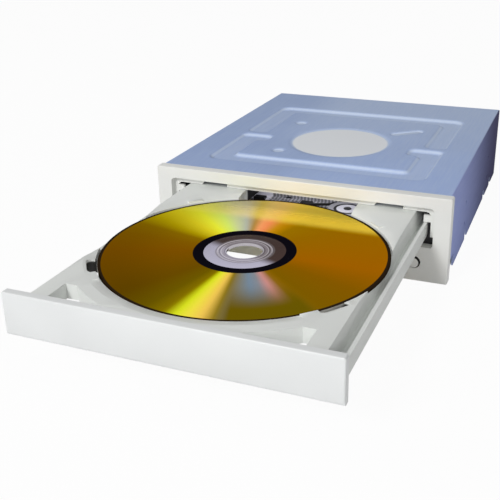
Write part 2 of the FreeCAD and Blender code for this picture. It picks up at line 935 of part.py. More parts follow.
def make_bottom_pan():
    body = new_body("bottom_pan")
    half = half_inside - s.fold_gap
    front = s.bezel_thick
    back = rear_face - s.sheet - s.fold_gap
    pad(body, "top", 0, s.sheet, box(-half, half, front, back))
    flange_ends = [
        (front + s.corner_cut_length, s.first_hole - s.flange_relief),
        (s.first_hole + s.flange_relief, second_hole - s.flange_relief),
        (second_hole + s.flange_relief, back),
    ]
    for low, high in flange_ends:
        wing = pad(body, "top", s.sheet, s.pan_flange, box(half - s.sheet, half, low, high))
        mirrored(body, wing)
    leg = half_chassis - s.rear_leg - s.fold_gap
    pad(body, "top", s.sheet, s.board_low - s.fold_gap, box(-leg, leg, back - s.sheet, back))
    pad(body, "top", s.sheet, s.sheet + s.pan_press,
        box(-s.pan_press_half, s.pan_press_half, s.first_hole, second_hole, s.channel_radius))
    cut(body, "top", -OVER, s.pan_press,
        box(s.sheet - s.pan_press_half, s.pan_press_half - s.sheet, s.first_hole + s.sheet,
            second_hole - s.sheet, s.channel_radius - s.sheet))
    for place_y, height in ((s.pan_screw_front, s.pan_dimple_front), (pan_screw_rear, s.board_low)):
        lift = pad(body, "top", s.sheet, height, circle(pan_screw_x, place_y, s.pan_dimple_radius))
        mirrored(body, lift)
        hollow = cut(body, "top", -OVER, height - s.sheet,
                     circle(pan_screw_x, place_y, s.pan_dimple_radius - s.sheet))
        mirrored(body, hollow)
        hole = cut(body, "top", -OVER, height + OVER,
                   circle(pan_screw_x, place_y, s.pan_screw_radius + s.post_play))
        mirrored(body, hole)
    corners = [(x, y) for x in (-bottom_hole_x, bottom_hole_x)
               for y in (s.first_hole, second_hole)]
    pad(body, "top", s.sheet, s.sheet + s.hole_collar_height,
        *[circle(x, y, s.hole_collar_radius) for x, y in corners])
    cut(body, "top", -OVER, s.sheet + s.hole_collar_height + OVER,
        *[circle(x, y, s.screw_hole_radius) for x, y in corners])
    return body


def make_pan_screws():
    """Four screws, each with its head in a pressed hollow of the pan."""
    body = new_body("pan_screws")
    rows = ((s.pan_screw_front, s.pan_dimple_front), (pan_screw_rear, s.board_low))
    for place_y, height in rows:
        seat_z = height - s.sheet
        places = (-pan_screw_x, pan_screw_x)
        pad(body, "top", seat_z - s.pan_screw_head_thick, seat_z,
            *[circle(x, place_y, s.pan_screw_head) for x in places])
        pad(body, "top", seat_z, seat_z + s.pan_screw_length,
            *[circle(x, place_y, s.pan_screw_radius) for x in places])
    return body


def make_front_bezel():
    body = new_body("front_bezel")
    half = half_chassis + s.bezel_overhang
    low = -s.bezel_rise
    high = s.chassis_height + s.bezel_rise
    thick = s.bezel_thick
    pad(body, "front", 0, thick, box(-half, half, low, high, s.bezel_corner))
    ease_edges(body, "Fillet", s.bezel_round, lambda edge: lies_at(edge, y=0))
    cut(body, "front", -OVER, s.recess_depth,
        stepped([(-half_opening, opening_low), (half_opening, opening_low),
                 (half_opening, opening_top), (-half_opening, opening_top)],
                [s.opening_corner, s.opening_corner, s.recess_corner, s.recess_corner]))
    lip_half = half_opening - s.lip_side
    lip_high = opening_top - s.lip_top
    lip_low = opening_low + s.lip_foot
    foot = half_opening - s.foot_notch_width
    cut(body, "front", s.recess_depth - OVER, thick + OVER,
        stepped([(-lip_half, lip_high), (-lip_half, lip_low), (-half_opening, lip_low),
                 (-half_opening, opening_low), (-foot, opening_low), (-foot, lip_low),
                 (foot, lip_low), (foot, opening_low), (half_opening, opening_low),
                 (half_opening, lip_low), (lip_half, lip_low), (lip_half, lip_high)],
                [s.lip_corner] + [None] * 10 + [s.lip_corner]))
    cut(body, "front", s.recess_depth - OVER, thick + OVER,
        *[polygon([(start, lip_high - OVER), (start + s.lip_notch_width, lip_high - OVER),
                   (start + s.lip_notch_width, opening_top), (start + s.lip_notch_ramp, opening_top),
                   (start, lip_high)])
          for start in (s.lip_notch_left, s.lip_notch_right)])
    hold_low = s.rib_top + s.hold_down_gap
    hold_downs = pad(body, "front", s.recess_depth, thick,
                     box(lip_half - s.hold_down_reach, lip_half + OVER, hold_low,
                         hold_low + s.hold_down_height))
    mirrored(body, hold_downs)
    wall = s.bezel_wall
    boss = s.button_radius + s.button_gap + wall
    lamp_half = s.lamp_width / 2 + wall
    cut(body, "front", s.bezel_plate, thick + OVER,
        box(wall - half, half - wall, low + wall, opening_low - wall, s.moulded_corner),
        circle(button_x, s.front_row_z, boss),
        box(lamp_x - lamp_half, lamp_x + lamp_half, s.front_row_z - s.lamp_height / 2 - wall,
            s.front_row_z + s.lamp_height / 2 + wall))
    cut(body, "front", -OVER, thick + OVER,
        circle(button_x, s.front_row_z, s.button_radius + s.button_gap),
        circle(s.release_x, s.front_row_z, s.release_radius),
        lamp_outline())
    clip_outer = half_inside - s.fold_gap
    clips = pad(body, "front", thick, thick + s.clip_length,
                *[box(clip_outer - s.clip_thick, clip_outer, low_z, low_z + s.clip_height)
                  for low_z in (s.clip_low, s.clip_high)])
    mirrored(body, clips)
    return body


def lamp_outline():
    half = s.lamp_width / 2
    rise = s.lamp_height / 2
    return box(lamp_x - half, lamp_x + half, s.front_row_z - rise, s.front_row_z + rise)


def make_led_lens():
    body = new_body("led_lens")
    pad(body, "front", s.lens_sink, s.bezel_thick - s.lens_sink, lamp_outline())
    return body


def make_eject_button():
    body = new_body("eject_button")
    place = (button_x, s.front_row_z)
    flange = s.bezel_thick + s.button_back_gap
    pad(body, "front", -s.button_proud, flange, circle(*place, s.button_radius))
    pad(body, "front", flange, flange + s.button_flange_thick, circle(*place, s.button_flange))
    stem_end = flange + s.button_flange_thick + s.button_stem
    pad(body, "front", flange, stem_end, circle(*place, s.button_radius / 2))
    ease_edges(body, "Fillet", s.button_round, lambda edge: lies_at(edge, y=-s.button_proud))
    return body


def make_tray_front():
    body = new_body("tray_front", TRAY)
    half = half_panel
    proud = s.panel_proud
    bevel = s.panel_bevel
    pad(body, "side", -half, half,
        polygon([(-proud, s.panel_low + bevel), (-proud + bevel / 2, s.panel_low),
                 (panel_back, s.panel_low), (panel_back, panel_top), (-proud, panel_top)]))
    ease_edges(body, "Fillet", s.panel_corner,
               lambda edge: any(lies_at(edge, x=side, z=panel_top) for side in (-half, half)))
    above_bevel = as_size(s.panel_low + bevel).number
    above_bevel += s.panel_round.number
    ease_edges(body, "Fillet", s.panel_round,
               lambda edge: lies_at(edge, y=-proud) and edge.CenterOfMass.z > above_bevel)
    return body


def tray_profile():
    """The tray's cross-section: deck, slanted walls, side channels and outer ribs."""
    wall = s.tray_wall
    outer = rib_inner + wall
    right = [
        (deck_half, s.deck_height),
        (deck_half + s.deck_draft, s.channel_floor),
        (rib_inner, s.channel_floor),
        (rib_inner, s.rib_top),
        (outer, s.rib_top),
        (outer, s.rib_foot),
        (rib_inner, s.rib_foot),
        (rib_inner, s.channel_floor - wall),
        (deck_half - s.deck_draft, s.channel_floor - wall),
        (deck_half - s.deck_draft, s.deck_under),
    ]
    left = [(-x, z) for x, z in reversed(right)]
    return polygon(right + left)


def tray_window():
    """A window at the tray's front: three straight sides and an arc about the disc's centre."""
    def draw(drawing):
        side, radius, middle = (deck_half - s.window_inset), s.window_arc, s.spindle_y
        front_x = square_root(radius * radius - (middle - s.window_front) * (middle - s.window_front))
        rear_x = square_root(radius * radius - (middle - s.window_rear) * (middle - s.window_rear))
        corners = numbers_of([(front_x, s.window_front), (side, s.window_front),
                              (side, s.window_rear), (rear_x, s.window_rear)])
        front, outer, rear = [drawing.line(corners[i], corners[i + 1]) for i in range(3)]
        angles = [math.atan2(y - middle.number, x) for x, y in (corners[0], corners[3])]
        inner = drawing.arc((0, middle.number), radius.number, *angles)
        drawing.rule("Horizontal", front)
        drawing.rule("Vertical", outer)
        drawing.rule("Horizontal", rear)
        drawing.rule("Coincident", front, 2, outer, 1)
        drawing.rule("Coincident", outer, 2, rear, 1)
        drawing.rule("Coincident", rear, 2, inner, 2)
        drawing.rule("Coincident", inner, 1, front, 1)
        drawing.pin(front, 1, y=s.window_front)
        drawing.pin(outer, 1, x=side)
        drawing.pin(rear, 1, y=s.window_rear)
        drawing.pin(inner, 3, 0, middle)
        drawing.rule("Radius", inner, value=radius)
    return draw


def disc_tab(angle):
    """A tab over the disc's edge, square to the radius at the given angle from +x."""
    along_x, along_y = cosine(angle), sine(angle)
    half = s.tab_width / 2
    ends = [(s.tab_reach, -half), (s.tab_root, -half), (s.tab_root, half), (s.tab_reach, half)]
    return polygon([(run * along_x - side * along_y, s.spindle_y + run * along_y + side * along_x)
                    for run, side in ends])


def rack_tooth(middle_y):
    """A straight-sided tooth that points away from the rack's back."""
    slope = tangent(s.pressure_angle)
    half = math.pi / 4 * s.tooth_module - s.tooth_play / 2
    tip = s.tooth_addendum * s.tooth_module
    root = s.tooth_dedendum * s.tooth_module + s.tooth_bite
    tip_half = half - tip * slope
    root_half = half + root * slope
    return polygon([(rack_line - tip, middle_y - tip_half), (rack_line + root, middle_y - root_half),
                    (rack_line + root, middle_y + root_half), (rack_line - tip, middle_y + tip_half)])


def make_disc_tray():
    body = new_body("disc_tray", TRAY)
    deck = s.deck_height
    middle = s.spindle_y
    pad(body, "front", panel_back, s.tray_rear, tray_profile())
    above = deck + OVER
    cut(body, "top", s.seat_height, above, circle(0, middle, recess_radius))
    lower = s.seat_height - s.seat_step
    cut(body, "top", lower, above, circle(0, middle, recess_radius - s.seat_width))
    cut(body, "top", lower - s.small_disc_step, above, circle(0, middle, s.small_disc_radius))
    rim = recess_radius + s.rim_run
    slope = (deck - s.rim_low) / s.rim_run
    turn(body, "Groove",
         polygon([(recess_radius - OVER, s.rim_low - OVER * slope), (rim + OVER, deck + OVER * slope),
                  (recess_radius - OVER, deck + OVER * slope)]),
         plane="side", shift=middle)
    bottom = s.rib_foot - OVER
    rear = s.tray_rear + OVER
    cut(body, "top", bottom, above,
        stepped([(-s.slot_left, middle - s.slot_reach), (s.slot_right, middle - s.slot_reach),
                 (s.slot_right, rear), (-s.slot_left, rear)],
                [s.slot_round, s.slot_round, None, None]))
    mirrored(body, cut(body, "top", bottom, above, tray_window()))
    tabs = pad(body, "top", s.tab_under, s.tab_under + s.tab_thick,
               disc_tab(-s.front_tab_angle), disc_tab(s.rear_tab_angle))
    mirrored(body, tabs)
    tab_slot_x = deck_half - s.tab_slot_inset
    slot = cut(body, "top", bottom, above,
               belt(tab_slot_x, middle - s.tab_slot_y, s.tab_slot_radius,
                    tab_slot_x - s.tab_slot_run, middle - s.tab_slot_y - s.tab_slot_rise,
                    s.tab_slot_radius))
    mirrored(body, slot)
    hollow_outer = deck_half - s.hollow_inset
    hollow = cut(body, "top", bottom, s.hollow_roof,
                 box(hollow_outer - s.hollow_width, hollow_outer, s.hollow_front,
                     s.tray_rear - s.tray_wall, s.moulded_corner))
    mirrored(body, hollow)
    root_x = rack_line + s.tooth_dedendum * s.tooth_module
    pitch = math.pi * s.tooth_module
    last_tooth = s.gear_line_y + s.tray_travel + pitch / 2
    pad(body, "top", s.rack_under, s.deck_under,
        box(root_x, root_x + s.rack_back, last_tooth - pitch * s.rack_teeth, s.tray_rear))
    tooth = pad(body, "top", s.rack_under, s.deck_under, rack_tooth(last_tooth))
    in_line(body, [tooth], "Y", pitch, s.rack_teeth, back=True)
    return body


def make_disc():
    body = new_body("disc", TRAY, 0, s.spindle_y, s.seat_height)
    turn(body, "Revolution",
         polygon([(s.disc_hole_radius, 0), (s.disc_radius, 0), (s.disc_radius, s.disc_thick),
                  (s.disc_hole_radius, s.disc_thick)]))
    pad(body, "top", -s.stack_ring_height, 0, circle(0, 0, s.stack_ring_radius + s.stack_ring_wide / 2),
        circle(0, 0, s.stack_ring_radius - s.stack_ring_wide / 2))
    return body


def make_eject_switch():
    body = new_body("eject_switch")
    half = s.switch_width / 2
    pad(body, "top", front_board_top, front_board_top + s.switch_height,
        box(button_x - half, button_x + half, switch_front, switch_front + s.switch_depth))
    return body


def make_status_led():
    """A lamp body on the front board with its round lens towards the window in the bezel."""
    body = new_body("status_led")
    radius = s.status_led_radius
    front = s.front_board_front + s.front_board_thick
    pad(body, "top", front_board_top, s.front_row_z + radius,
        box(lamp_x - radius, lamp_x + radius, front, front + s.status_led_depth))
    pad(body, "front", s.front_board_front, front, circle(lamp_x, s.front_row_z, radius))
    return body


def make_front_board():
    body = new_body("front_board")
    pad(body, "top", s.front_board_low, front_board_top,
        box(button_x - s.front_board_inner, button_x + s.front_board_outer, s.front_board_front,
            s.front_board_rear, s.moulded_corner))
    return body


def polar(radius, angle):
    return radius * cosine(angle), radius * sine(angle)


def gear_tooth(teeth, phase):
    """A tooth turned by the phase from +x, with points of the involute along each flank."""
    module = s.tooth_module
    pitch_radius = teeth * module / 2
    base = pitch_radius * cosine(s.pressure_angle)
    root = pitch_radius - s.tooth_dedendum * module
    tip = pitch_radius + s.tooth_addendum * module
    per_radian = 180 / math.pi

    def unrolled(angle):
        return tangent(angle) * per_radian - angle

    pitch_half = 90 / teeth - s.tooth_play / 2 / pitch_radius * per_radian
    base_half = pitch_half + unrolled(s.pressure_angle)
    between = (pitch_radius + tip) / 2
    flank = [(root - s.tooth_bite, base_half), (base, base_half), (pitch_radius, pitch_half)]
    flank += [(radius, base_half - unrolled(arc_cosine(base / radius))) for radius in (between, tip)]
    return polygon([polar(radius, phase - half) for radius, half in flank]
                   + [polar(radius, phase + half) for radius, half in reversed(flank)])


def toothed_ring(body, teeth, low, high, phase=0):
    """Adds a spur gear about the body's upright axis."""
    root = teeth * s.tooth_module / 2 - s.tooth_dedendum * s.tooth_module
    pad(body, "top", low, high, circle(0, 0, root))
    tooth = pad(body, "top", low, high, gear_tooth(teeth, as_size(phase)))
    in_ring(body, [tooth], teeth)


def belt_pulley(body, radius):
    """Adds a pulley whose groove opens slightly towards the rim."""
    pad(body, "top", s.pulley_low, s.pulley_high, circle(0, 0, radius))
    half = s.belt_square / 2 + s.belt_play
    flare = half + s.belt_play
    turn(body, "Groove",
         polygon([(radius - s.pulley_groove, pulley_middle - half),
                  (radius + OVER, pulley_middle - flare),
                  (radius + OVER, pulley_middle + flare),
                  (radius - s.pulley_groove, pulley_middle + half)]))


def make_tray_gear():
    body = new_body("tray_gear", CASING, gear_line_x, s.gear_line_y)
    pad(body, "top", s.gear_low, s.tray_gear_low, circle(0, 0, s.gear_hub_radius))
    toothed_ring(body, s.big_gear_teeth, s.gear_low, s.gear_low + s.gear_thick)
    toothed_ring(body, s.tray_gear_teeth, s.tray_gear_low, s.tray_gear_high)
    cut(body, "top", s.gear_low - OVER, s.tray_gear_high + OVER, circle(0, 0, gear_bore))
    return body


def make_pulley_gear():
    body = new_body("pulley_gear", CASING, pulley_x, s.gear_line_y)
    belt_pulley(body, s.pulley_radius)
    pad(body, "top", s.gear_low + s.gear_thick, s.pulley_low, circle(0, 0, s.gear_hub_radius))
    phase = 180 / s.small_gear_teeth * (s.big_gear_teeth + 1)
    toothed_ring(body, s.small_gear_teeth, s.gear_low, s.gear_low + s.gear_thick, phase)
    cut(body, "top", s.gear_low - OVER, s.pulley_high + OVER, circle(0, 0, gear_bore))
    return body


def make_motor_pulley():
    body = new_body("motor_pulley", CASING, motor_x, s.motor_y)
    belt_pulley(body, s.motor_pulley_radius)
    pad(body, "top", motor_top - s.bushing_height, s.pulley_low, circle(0, 0, s.motor_shaft_radius))
    return body


def make_loading_motor():
    body = new_body("loading_motor", CASING, motor_x, s.motor_y)
    pad(body, "top", s.motor_low, motor_top, circle(0, 0, s.motor_radius))
    ease_edges(body, "Fillet", s.button_round,
               lambda edge: lies_at(edge, z=s.motor_low) or lies_at(edge, z=motor_top))
    pad(body, "top", motor_top, motor_top + s.bushing_height, circle(0, 0, s.bushing_radius))
    cut(body, "top", motor_top - s.bushing_height - s.fold_gap, motor_top + s.bushing_height + OVER,
        circle(0, 0, s.motor_shaft_radius + s.post_play))
    return body


def make_drive_belt():
    body = new_body("drive_belt")
    large = s.pulley_radius - s.pulley_groove + s.belt_play
    small = s.motor_pulley_radius - s.pulley_groove + s.belt_play
    half = s.belt_square / 2
    pad(body, "top", pulley_middle - half, pulley_middle + half,
        *[belt(pulley_x, s.gear_line_y, large + more, motor_x, s.motor_y, small + more)
          for more in (0, s.belt_square)])
    return body


def make_cam_slider():
    """A bar that slides sideways and lifts two pins of the traverse in its sloping grooves."""
    body = new_body("cam_slider")
    pad(body, "top", s.slider_low, s.slider_top,
        box(s.slider_left, s.slider_right, s.slider_front, s.slider_rear))
    pad(body, "front", s.slider_step, s.slider_rear,
        box(s.slider_left, s.slider_right, s.cam_low, s.cam_top, s.moulded_corner))
    groove_radius = s.cam_pin_radius + s.cam_pin_gap
    cut(body, "front", s.slider_step - s.guide_gap * 2, s.slider_rear + OVER,
        *[belt(pin_x, pin_rest_z, groove_radius, pin_x + s.cam_travel, s.cam_pin_z, groove_radius)
          for pin_x in (s.cam_pin_left, s.cam_pin_right)])
    first = s.slider_left + s.pocket_inset
    pocket = cut(body, "top", s.slider_top - s.tray_wall, s.slider_top + OVER,
                 box(first, first + s.pocket_length, s.slider_front + s.tray_wall,
                     s.slider_step - s.tray_wall * 2))
    in_line(body, [pocket], "X", s.pocket_pitch, s.pocket_count)
    return body


def make_rail(name, side):
    """One side of the moulded tub: a hollow rail, the wall that guides the tray and a strip of web."""
    body = new_body(name)
    front = s.frame_front
    wall = s.tray_wall

    def across(inner, outer):
        return sorted_pair(side * inner, side * outer)

    pad(body, "top", s.rail_low, s.rail_top, box(*across(rail_inner, frame_half), front, frame_rear))
    pad(body, "top", s.rail_top, s.wall_top,
        box(*across(wall_inner, wall_inner + s.wall_thick), front, frame_rear))
    pad(body, "top", s.web_low, s.web_top,
        box(*across(window_half, rail_inner), s.slider_rear + s.guide_gap, s.window_end))
    first = front + s.pocket_length
    cell = cut(body, "top", s.rail_low - OVER, s.rail_top - wall,
               box(*across(rail_inner + wall, frame_half - wall), first, first + s.rib_pitch - wall))
    in_line(body, [cell], "Y", s.rib_pitch, s.rib_count)
    tab_low = s.rib_top + s.cradle_gap
    tab = pad(body, "top", tab_low, tab_low + wall,
              box(*across(wall_inner - s.hold_down_overlap, wall_inner + wall),
                  s.hold_down_first, s.hold_down_first + s.hold_down_length))
    in_line(body, [tab], "Y", s.hold_down_pitch, s.hold_down_count)
    screw_x = side * pan_screw_x
    for place_y, start in ((s.pan_screw_front, s.pan_dimple_front), (pan_screw_rear, board_top)):
        pad(body, "top", start, s.rail_top - wall, circle(screw_x, place_y, s.boss_radius))
        cut(body, "top", start - OVER, start + s.pan_screw_length,
            circle(screw_x, place_y, s.pan_screw_radius + s.post_play))
    holes = [circle(y, z, s.screw_relief_radius)
             for y in (s.first_hole, second_hole) for z in (s.side_hole_low, side_hole_high)]
    cut(body, "side", *across(frame_half - s.screw_relief_depth, frame_half + OVER), *holes)
    return body


def make_left_rail():
    return make_rail("left_rail", -1)


def make_right_rail():
    body = make_rail("right_rail", 1)
    pocket_half = s.button_flange + s.flange_play
    cut(body, "top", s.rail_low - OVER, s.web_low,
        box(button_x - pocket_half, button_x + pocket_half, s.frame_front - OVER,
            switch_front + s.switch_depth + OVER))
    return body


def make_gear_deck():
    """The front web of the tub, with the gears' posts and the guides of the cam slider."""
    body = new_body("gear_deck")
    low = s.web_low
    top = s.web_top
    pad(body, "top", low, top, box(-rail_inner, rail_inner, s.frame_front, s.deck_edge))
    for post_x, reach in ((gear_line_x, s.tray_gear_high), (pulley_x, s.pulley_high)):
        pad(body, "top", top, s.gear_low - s.guide_gap / 2, circle(post_x, s.gear_line_y, s.boss_radius))
        pad(body, "top", top, reach + s.guide_gap, circle(post_x, s.gear_line_y, s.gear_post_radius))
    pad(body, "top", front_board_top, low,
        *[circle(button_x - inner, s.board_post_y, s.gear_post_radius)
          for inner in (s.board_post_inner, s.board_post_outer)])
    cut(body, "top", low - OVER, top + OVER,
        circle(motor_x, s.motor_y, s.bushing_radius + s.cradle_gap))
    guide_rear = s.slider_front - s.guide_gap
    guide_front = guide_rear - s.tray_wall
    guide_top = s.slider_top + s.guide_gap
    starts = (s.hook_left, s.hook_right)
    pad(body, "top", top, guide_top,
        *[box(x, x + s.hook_length, guide_front, guide_rear) for x in starts])
    pad(body, "top", guide_top, guide_top + s.bridge_sheet,
        *[box(x, x + s.hook_length, guide_front, s.slider_front + s.guide_overlap) for x in starts])
    return body


def make_rear_beam():
    """The rear web of the tub, with the open cradles of the traverse's soft rings."""
    body = new_body("rear_beam")
    pad(body, "top", s.web_low, s.web_top, box(-rail_inner, rail_inner, s.window_end, frame_rear))
    reach = s.pivot_pin_radius * 3
    saddle = pad(body, "side", saddle_inner, saddle_outer + s.tray_wall,
                 box(s.pivot_y - reach, s.pivot_y + reach, s.web_top, s.pivot_z + reach))
    mirrored(body, saddle)
    cradle = s.damper_radius + s.cradle_gap
    bed = cut(body, "side", saddle_inner - OVER, saddle_outer, circle(s.pivot_y, s.pivot_z, cradle))
    mirrored(body, bed)
    mouth = cut(body, "side", saddle_inner - OVER, saddle_outer,
                box(s.pivot_y - cradle, s.pivot_y + cradle, s.pivot_z, s.pivot_z + reach + OVER))
    mirrored(body, mouth)
    return body


def make_clamp_bridge():
    body = new_body("clamp_bridge")
    half = wall_inner + s.wall_thick
    front = s.spindle_y - s.bridge_width / 2
    rear = s.spindle_y + s.bridge_width / 2
    pad(body, "top", s.wall_top, bridge_top, box(-half, half, front, rear, s.moulded_corner))
    rib = s.bridge_sheet
    pad(body, "top", bridge_top, bridge_top + s.bridge_rib,
        box(-half, half, front, front + rib), box(-half, half, rear - rib, rear))
    cut(body, "top", s.wall_top - OVER, bridge_top + OVER,
        circle(0, s.spindle_y, s.puck_hole_radius))
    return body


def make_clamp_puck():
    body = new_body("clamp_puck", CASING, 0, s.spindle_y)
    flange_low = bridge_top + s.puck_lift
    pad(body, "top", s.puck_low, flange_low, circle(0, 0, s.puck_radius))
    pad(body, "top", flange_low, flange_low + s.puck_flange_thick, circle(0, 0, s.puck_flange))
    cut(body, "top", flange_low + s.puck_flange_thick - s.clamp_plate_thick,
        flange_low + s.puck_flange_thick, circle(0, 0, s.clamp_plate_radius))
    cut(body, "top", s.puck_low, s.puck_low + s.clamp_plate_thick,
        circle(0, 0, s.hub_radius + s.guide_gap))
    ease_edges(body, "Chamfer", s.button_round, lambda edge: lies_at(edge, z=s.puck_low))
    return body


def make_clamp_plate():
    body = new_body("clamp_plate", CASING, 0, s.spindle_y)
    top = bridge_top + s.puck_lift + s.puck_flange_thick
    pad(body, "top", top - s.clamp_plate_thick, top, circle(0, 0, s.clamp_plate_radius))
    return body


def make_traverse_frame():
    """The tilting frame under the disc, drawn level in its lifted place."""
    body = new_body("traverse_frame", TRAVERSE)
    half = traverse_half
    low = s.traverse_low
    top = s.traverse_top
    front = s.traverse_front
    rear = s.traverse_rear
    wall = s.tray_wall
    pad(body, "top", low, top, box(-half, half, front, rear, s.moulded_corner))
    pad(body, "top", low - s.traverse_rib, low, box(-half, wall - half, front, rear),
        box(half - wall, half, front, motor_front - wall * 2))
    pins = (s.cam_pin_left, s.cam_pin_right)
    pad(body, "front", s.slider_step - s.guide_gap, front + wall,
        *[circle(x, s.cam_pin_z, s.cam_pin_radius) for x in pins])
    block = s.rod_radius * 2
    ends = [(s.rod_front - wall, s.rod_front + s.rod_hold), (s.rod_rear - s.rod_hold, rear)]
    for near, far in ends:
        pad(body, "top", top, s.rod_z + block,
            *[box(side * s.rod_x - block, side * s.rod_x + block, near, far) for side in (-1, 1)])
    cut(body, "front", s.rod_front, s.rod_rear,
        *[circle(side * s.rod_x, s.rod_z, s.rod_radius) for side in (-1, 1)])
    pad(body, "top", top, s.rod_z + block,
        box(s.screw_x - block, s.screw_x + block, rear - block, rear))
    ear = pad(body, "side", pivot_pin_inner - wall, pivot_pin_inner,
              box(rear - wall * 2, s.pivot_y + wall, low, s.pivot_z + wall))
    mirrored(body, ear)
    pin = pad(body, "side", pivot_pin_inner - wall, pivot_pin_outer,
              circle(s.pivot_y, s.pivot_z, s.pivot_pin_radius))
    mirrored(body, pin)
    cut(body, "front", rear - block - OVER, s.lead_screw_rear + s.guide_gap,
        circle(s.screw_x, s.rod_z, s.lead_screw_radius + s.post_play))
    cut(body, "top", low - OVER, top + OVER,
        box(-s.sled_window_half, s.sled_window_half, s.sled_window_front, s.sled_window_rear,
            s.moulded_corner))
    reach = s.sled_motor_radius + s.cradle_gap * 2
    cut(body, "top", low - OVER, top + OVER,
        box(s.screw_x - reach, half + OVER, motor_front - s.cradle_gap, sled_motor_rear + s.cradle_gap))
    cut(body, "top", top - s.motor_sink, top + OVER,
        circle(0, s.spindle_y, s.hub_radius))
    return body


def make_pivot_dampers():
    """Two soft rings on the pivot pins, each lying in a cradle of the base frame."""
    body = new_body("pivot_dampers", TRAVERSE)
    near = saddle_inner + s.guide_gap
    far = saddle_outer - s.guide_gap
    ring = pad(body, "side", near, far, circle(s.pivot_y, s.pivot_z, s.damper_radius),
               circle(s.pivot_y, s.pivot_z, s.pivot_pin_radius))
    mirrored(body, ring)
    return body


def make_spindle_motor():
    body = new_body("spindle_motor", TRAVERSE, 0, s.spindle_y)
    base_top = s.traverse_top + s.spindle_plate_thick
    pad(body, "top", s.traverse_top, base_top, circle(0, 0, s.spindle_plate_radius))
    pad(body, "top", base_top, s.stator_top, circle(0, 0, s.bearing_radius))
    core = s.stator_radius - s.tray_wall * 2
    pad(body, "top", base_top + OVER, s.stator_top, circle(0, 0, core))
    pole = pad(body, "top", base_top + OVER, s.stator_top,
               box(core - OVER, s.stator_radius, -s.tray_wall, s.tray_wall))
    in_ring(body, [pole], s.stator_poles)
    cut(body, "top", s.traverse_top + s.fold_gap, s.stator_top + OVER,
        circle(0, 0, s.spindle_bore + s.post_play))
    return body


def make_turntable():
    """The rotor cup, the table the disc lies on and the hub that centres it, with their shaft."""
    body = new_body("turntable", TRAVERSE, 0, s.spindle_y)
    hub_low = s.table_top + s.disc_thick
    turn(body, "Revolution",
         polygon([(0, s.rotor_top), (s.rotor_radius - OVER, s.rotor_top),
                  (s.rotor_radius - OVER, s.rotor_low),
                  (s.rotor_radius, s.rotor_low), (s.rotor_radius, s.rotor_top + OVER),
                  (s.table_radius, s.rotor_top + OVER), (s.table_radius, s.table_top),
                  (s.hub_radius, s.table_top), (s.hub_radius, hub_low),
                  (s.hub_radius - s.tray_wall, s.hub_top), (0, s.hub_top)]))
    pad(body, "top", s.traverse_top + s.bridge_sheet / 2, s.rotor_top, circle(0, 0, s.spindle_bore))
    slot = cut(body, "top", hub_low, s.hub_top,
               box(s.hub_radius - s.tray_wall * 2, s.hub_radius + OVER, -s.spindle_bore / 2,
                   s.spindle_bore / 2))
    in_ring(body, [slot], s.hub_slots)
    return body


def make_friction_pad():
    body = new_body("friction_pad", TRAVERSE, 0, s.spindle_y)
    pad(body, "top", s.table_top, s.table_top + s.pad_thick,
        circle(0, 0, s.table_radius - s.guide_gap), circle(0, 0, s.pad_inner))
    return body


def make_guide_rods():
    body = new_body("guide_rods", TRAVERSE)
    pad(body, "front", s.rod_front, s.rod_rear,
        *[circle(side * s.rod_x, s.rod_z, s.rod_radius) for side in (-1, 1)])
    return body


def make_sled_motor():
    body = new_body("sled_motor", TRAVERSE)
    flat = s.sled_motor_radius - s.tray_wall / 2
    pad(body, "front", motor_front, sled_motor_rear - s.tray_wall,
        circle(s.screw_x, s.rod_z, s.sled_motor_radius))
    pad(body, "front", sled_motor_rear - s.tray_wall, sled_motor_rear,
        box(s.screw_x - flat, s.screw_x + flat, s.traverse_top, s.rod_z + flat))
    cut(body, "front", s.lead_screw_front - s.guide_gap, sled_motor_rear + OVER,
        circle(s.screw_x, s.rod_z, s.lead_screw_radius + s.post_play))
    return body


def make_lead_screw():
    """The long screw that carries the sled's nut along, a plain rod without its fine thread."""
    body = new_body("lead_screw", TRAVERSE, s.screw_x, 0, s.rod_z)
    pad(body, "front", s.lead_screw_front, s.lead_screw_rear, circle(0, 0, s.lead_screw_radius))
    return body


def make_optical_pickup():
    body = new_body("optical_pickup", TRAVERSE)
    half = s.sled_width / 2
    front = s.sled_front
    rear = s.sled_rear
    pad(body, "top", s.sled_low, s.sled_top, box(-half, half, front, rear, s.lip_round))
    cover = s.lens_cover_half
    pad(body, "top", s.sled_top, s.lens_cover_top,
        box(-cover, cover, front + s.tray_wall, s.lens_y + cover, s.lip_round))
    middle_y = (front + rear) / 2
    pad(body, "top", s.nut_low, s.nut_top,
        box(half - OVER, s.nut_reach, middle_y + OVER - s.nut_width / 2,
            middle_y + OVER + s.nut_width / 2))
    cut(body, "front", front - OVER, rear + OVER,
        *[circle(side * s.rod_x, s.rod_z, s.rod_radius + s.post_play) for side in (-1, 1)])
    cut(body, "front", front, rear,
        circle(s.screw_x, s.rod_z, s.lead_screw_radius + s.guide_gap))
    arch = cut(body, "top", s.sled_top - s.tray_wall, s.sled_top + OVER,
               box(cover + s.tray_wall, half - s.rod_radius * 4, front + s.tray_wall, rear - s.tray_wall))
    mirrored(body, arch)
    cut(body, "top", s.lens_cover_top - s.sheet, s.lens_cover_top,
        circle(0, s.lens_y, s.lens_radius + OVER))
    return body


def make_objective_lens():
    body = new_body("objective_lens", TRAVERSE, 0, s.lens_y)
    seat_z = s.lens_cover_top - s.sheet
    turn(body, "Revolution",
         polygon([(0, seat_z), (s.lens_radius, seat_z), (s.lens_radius, s.lens_top - s.sheet),
                  (s.lens_radius - s.sheet, s.lens_top - s.sheet / 2), (0, s.lens_top)]))
    return body


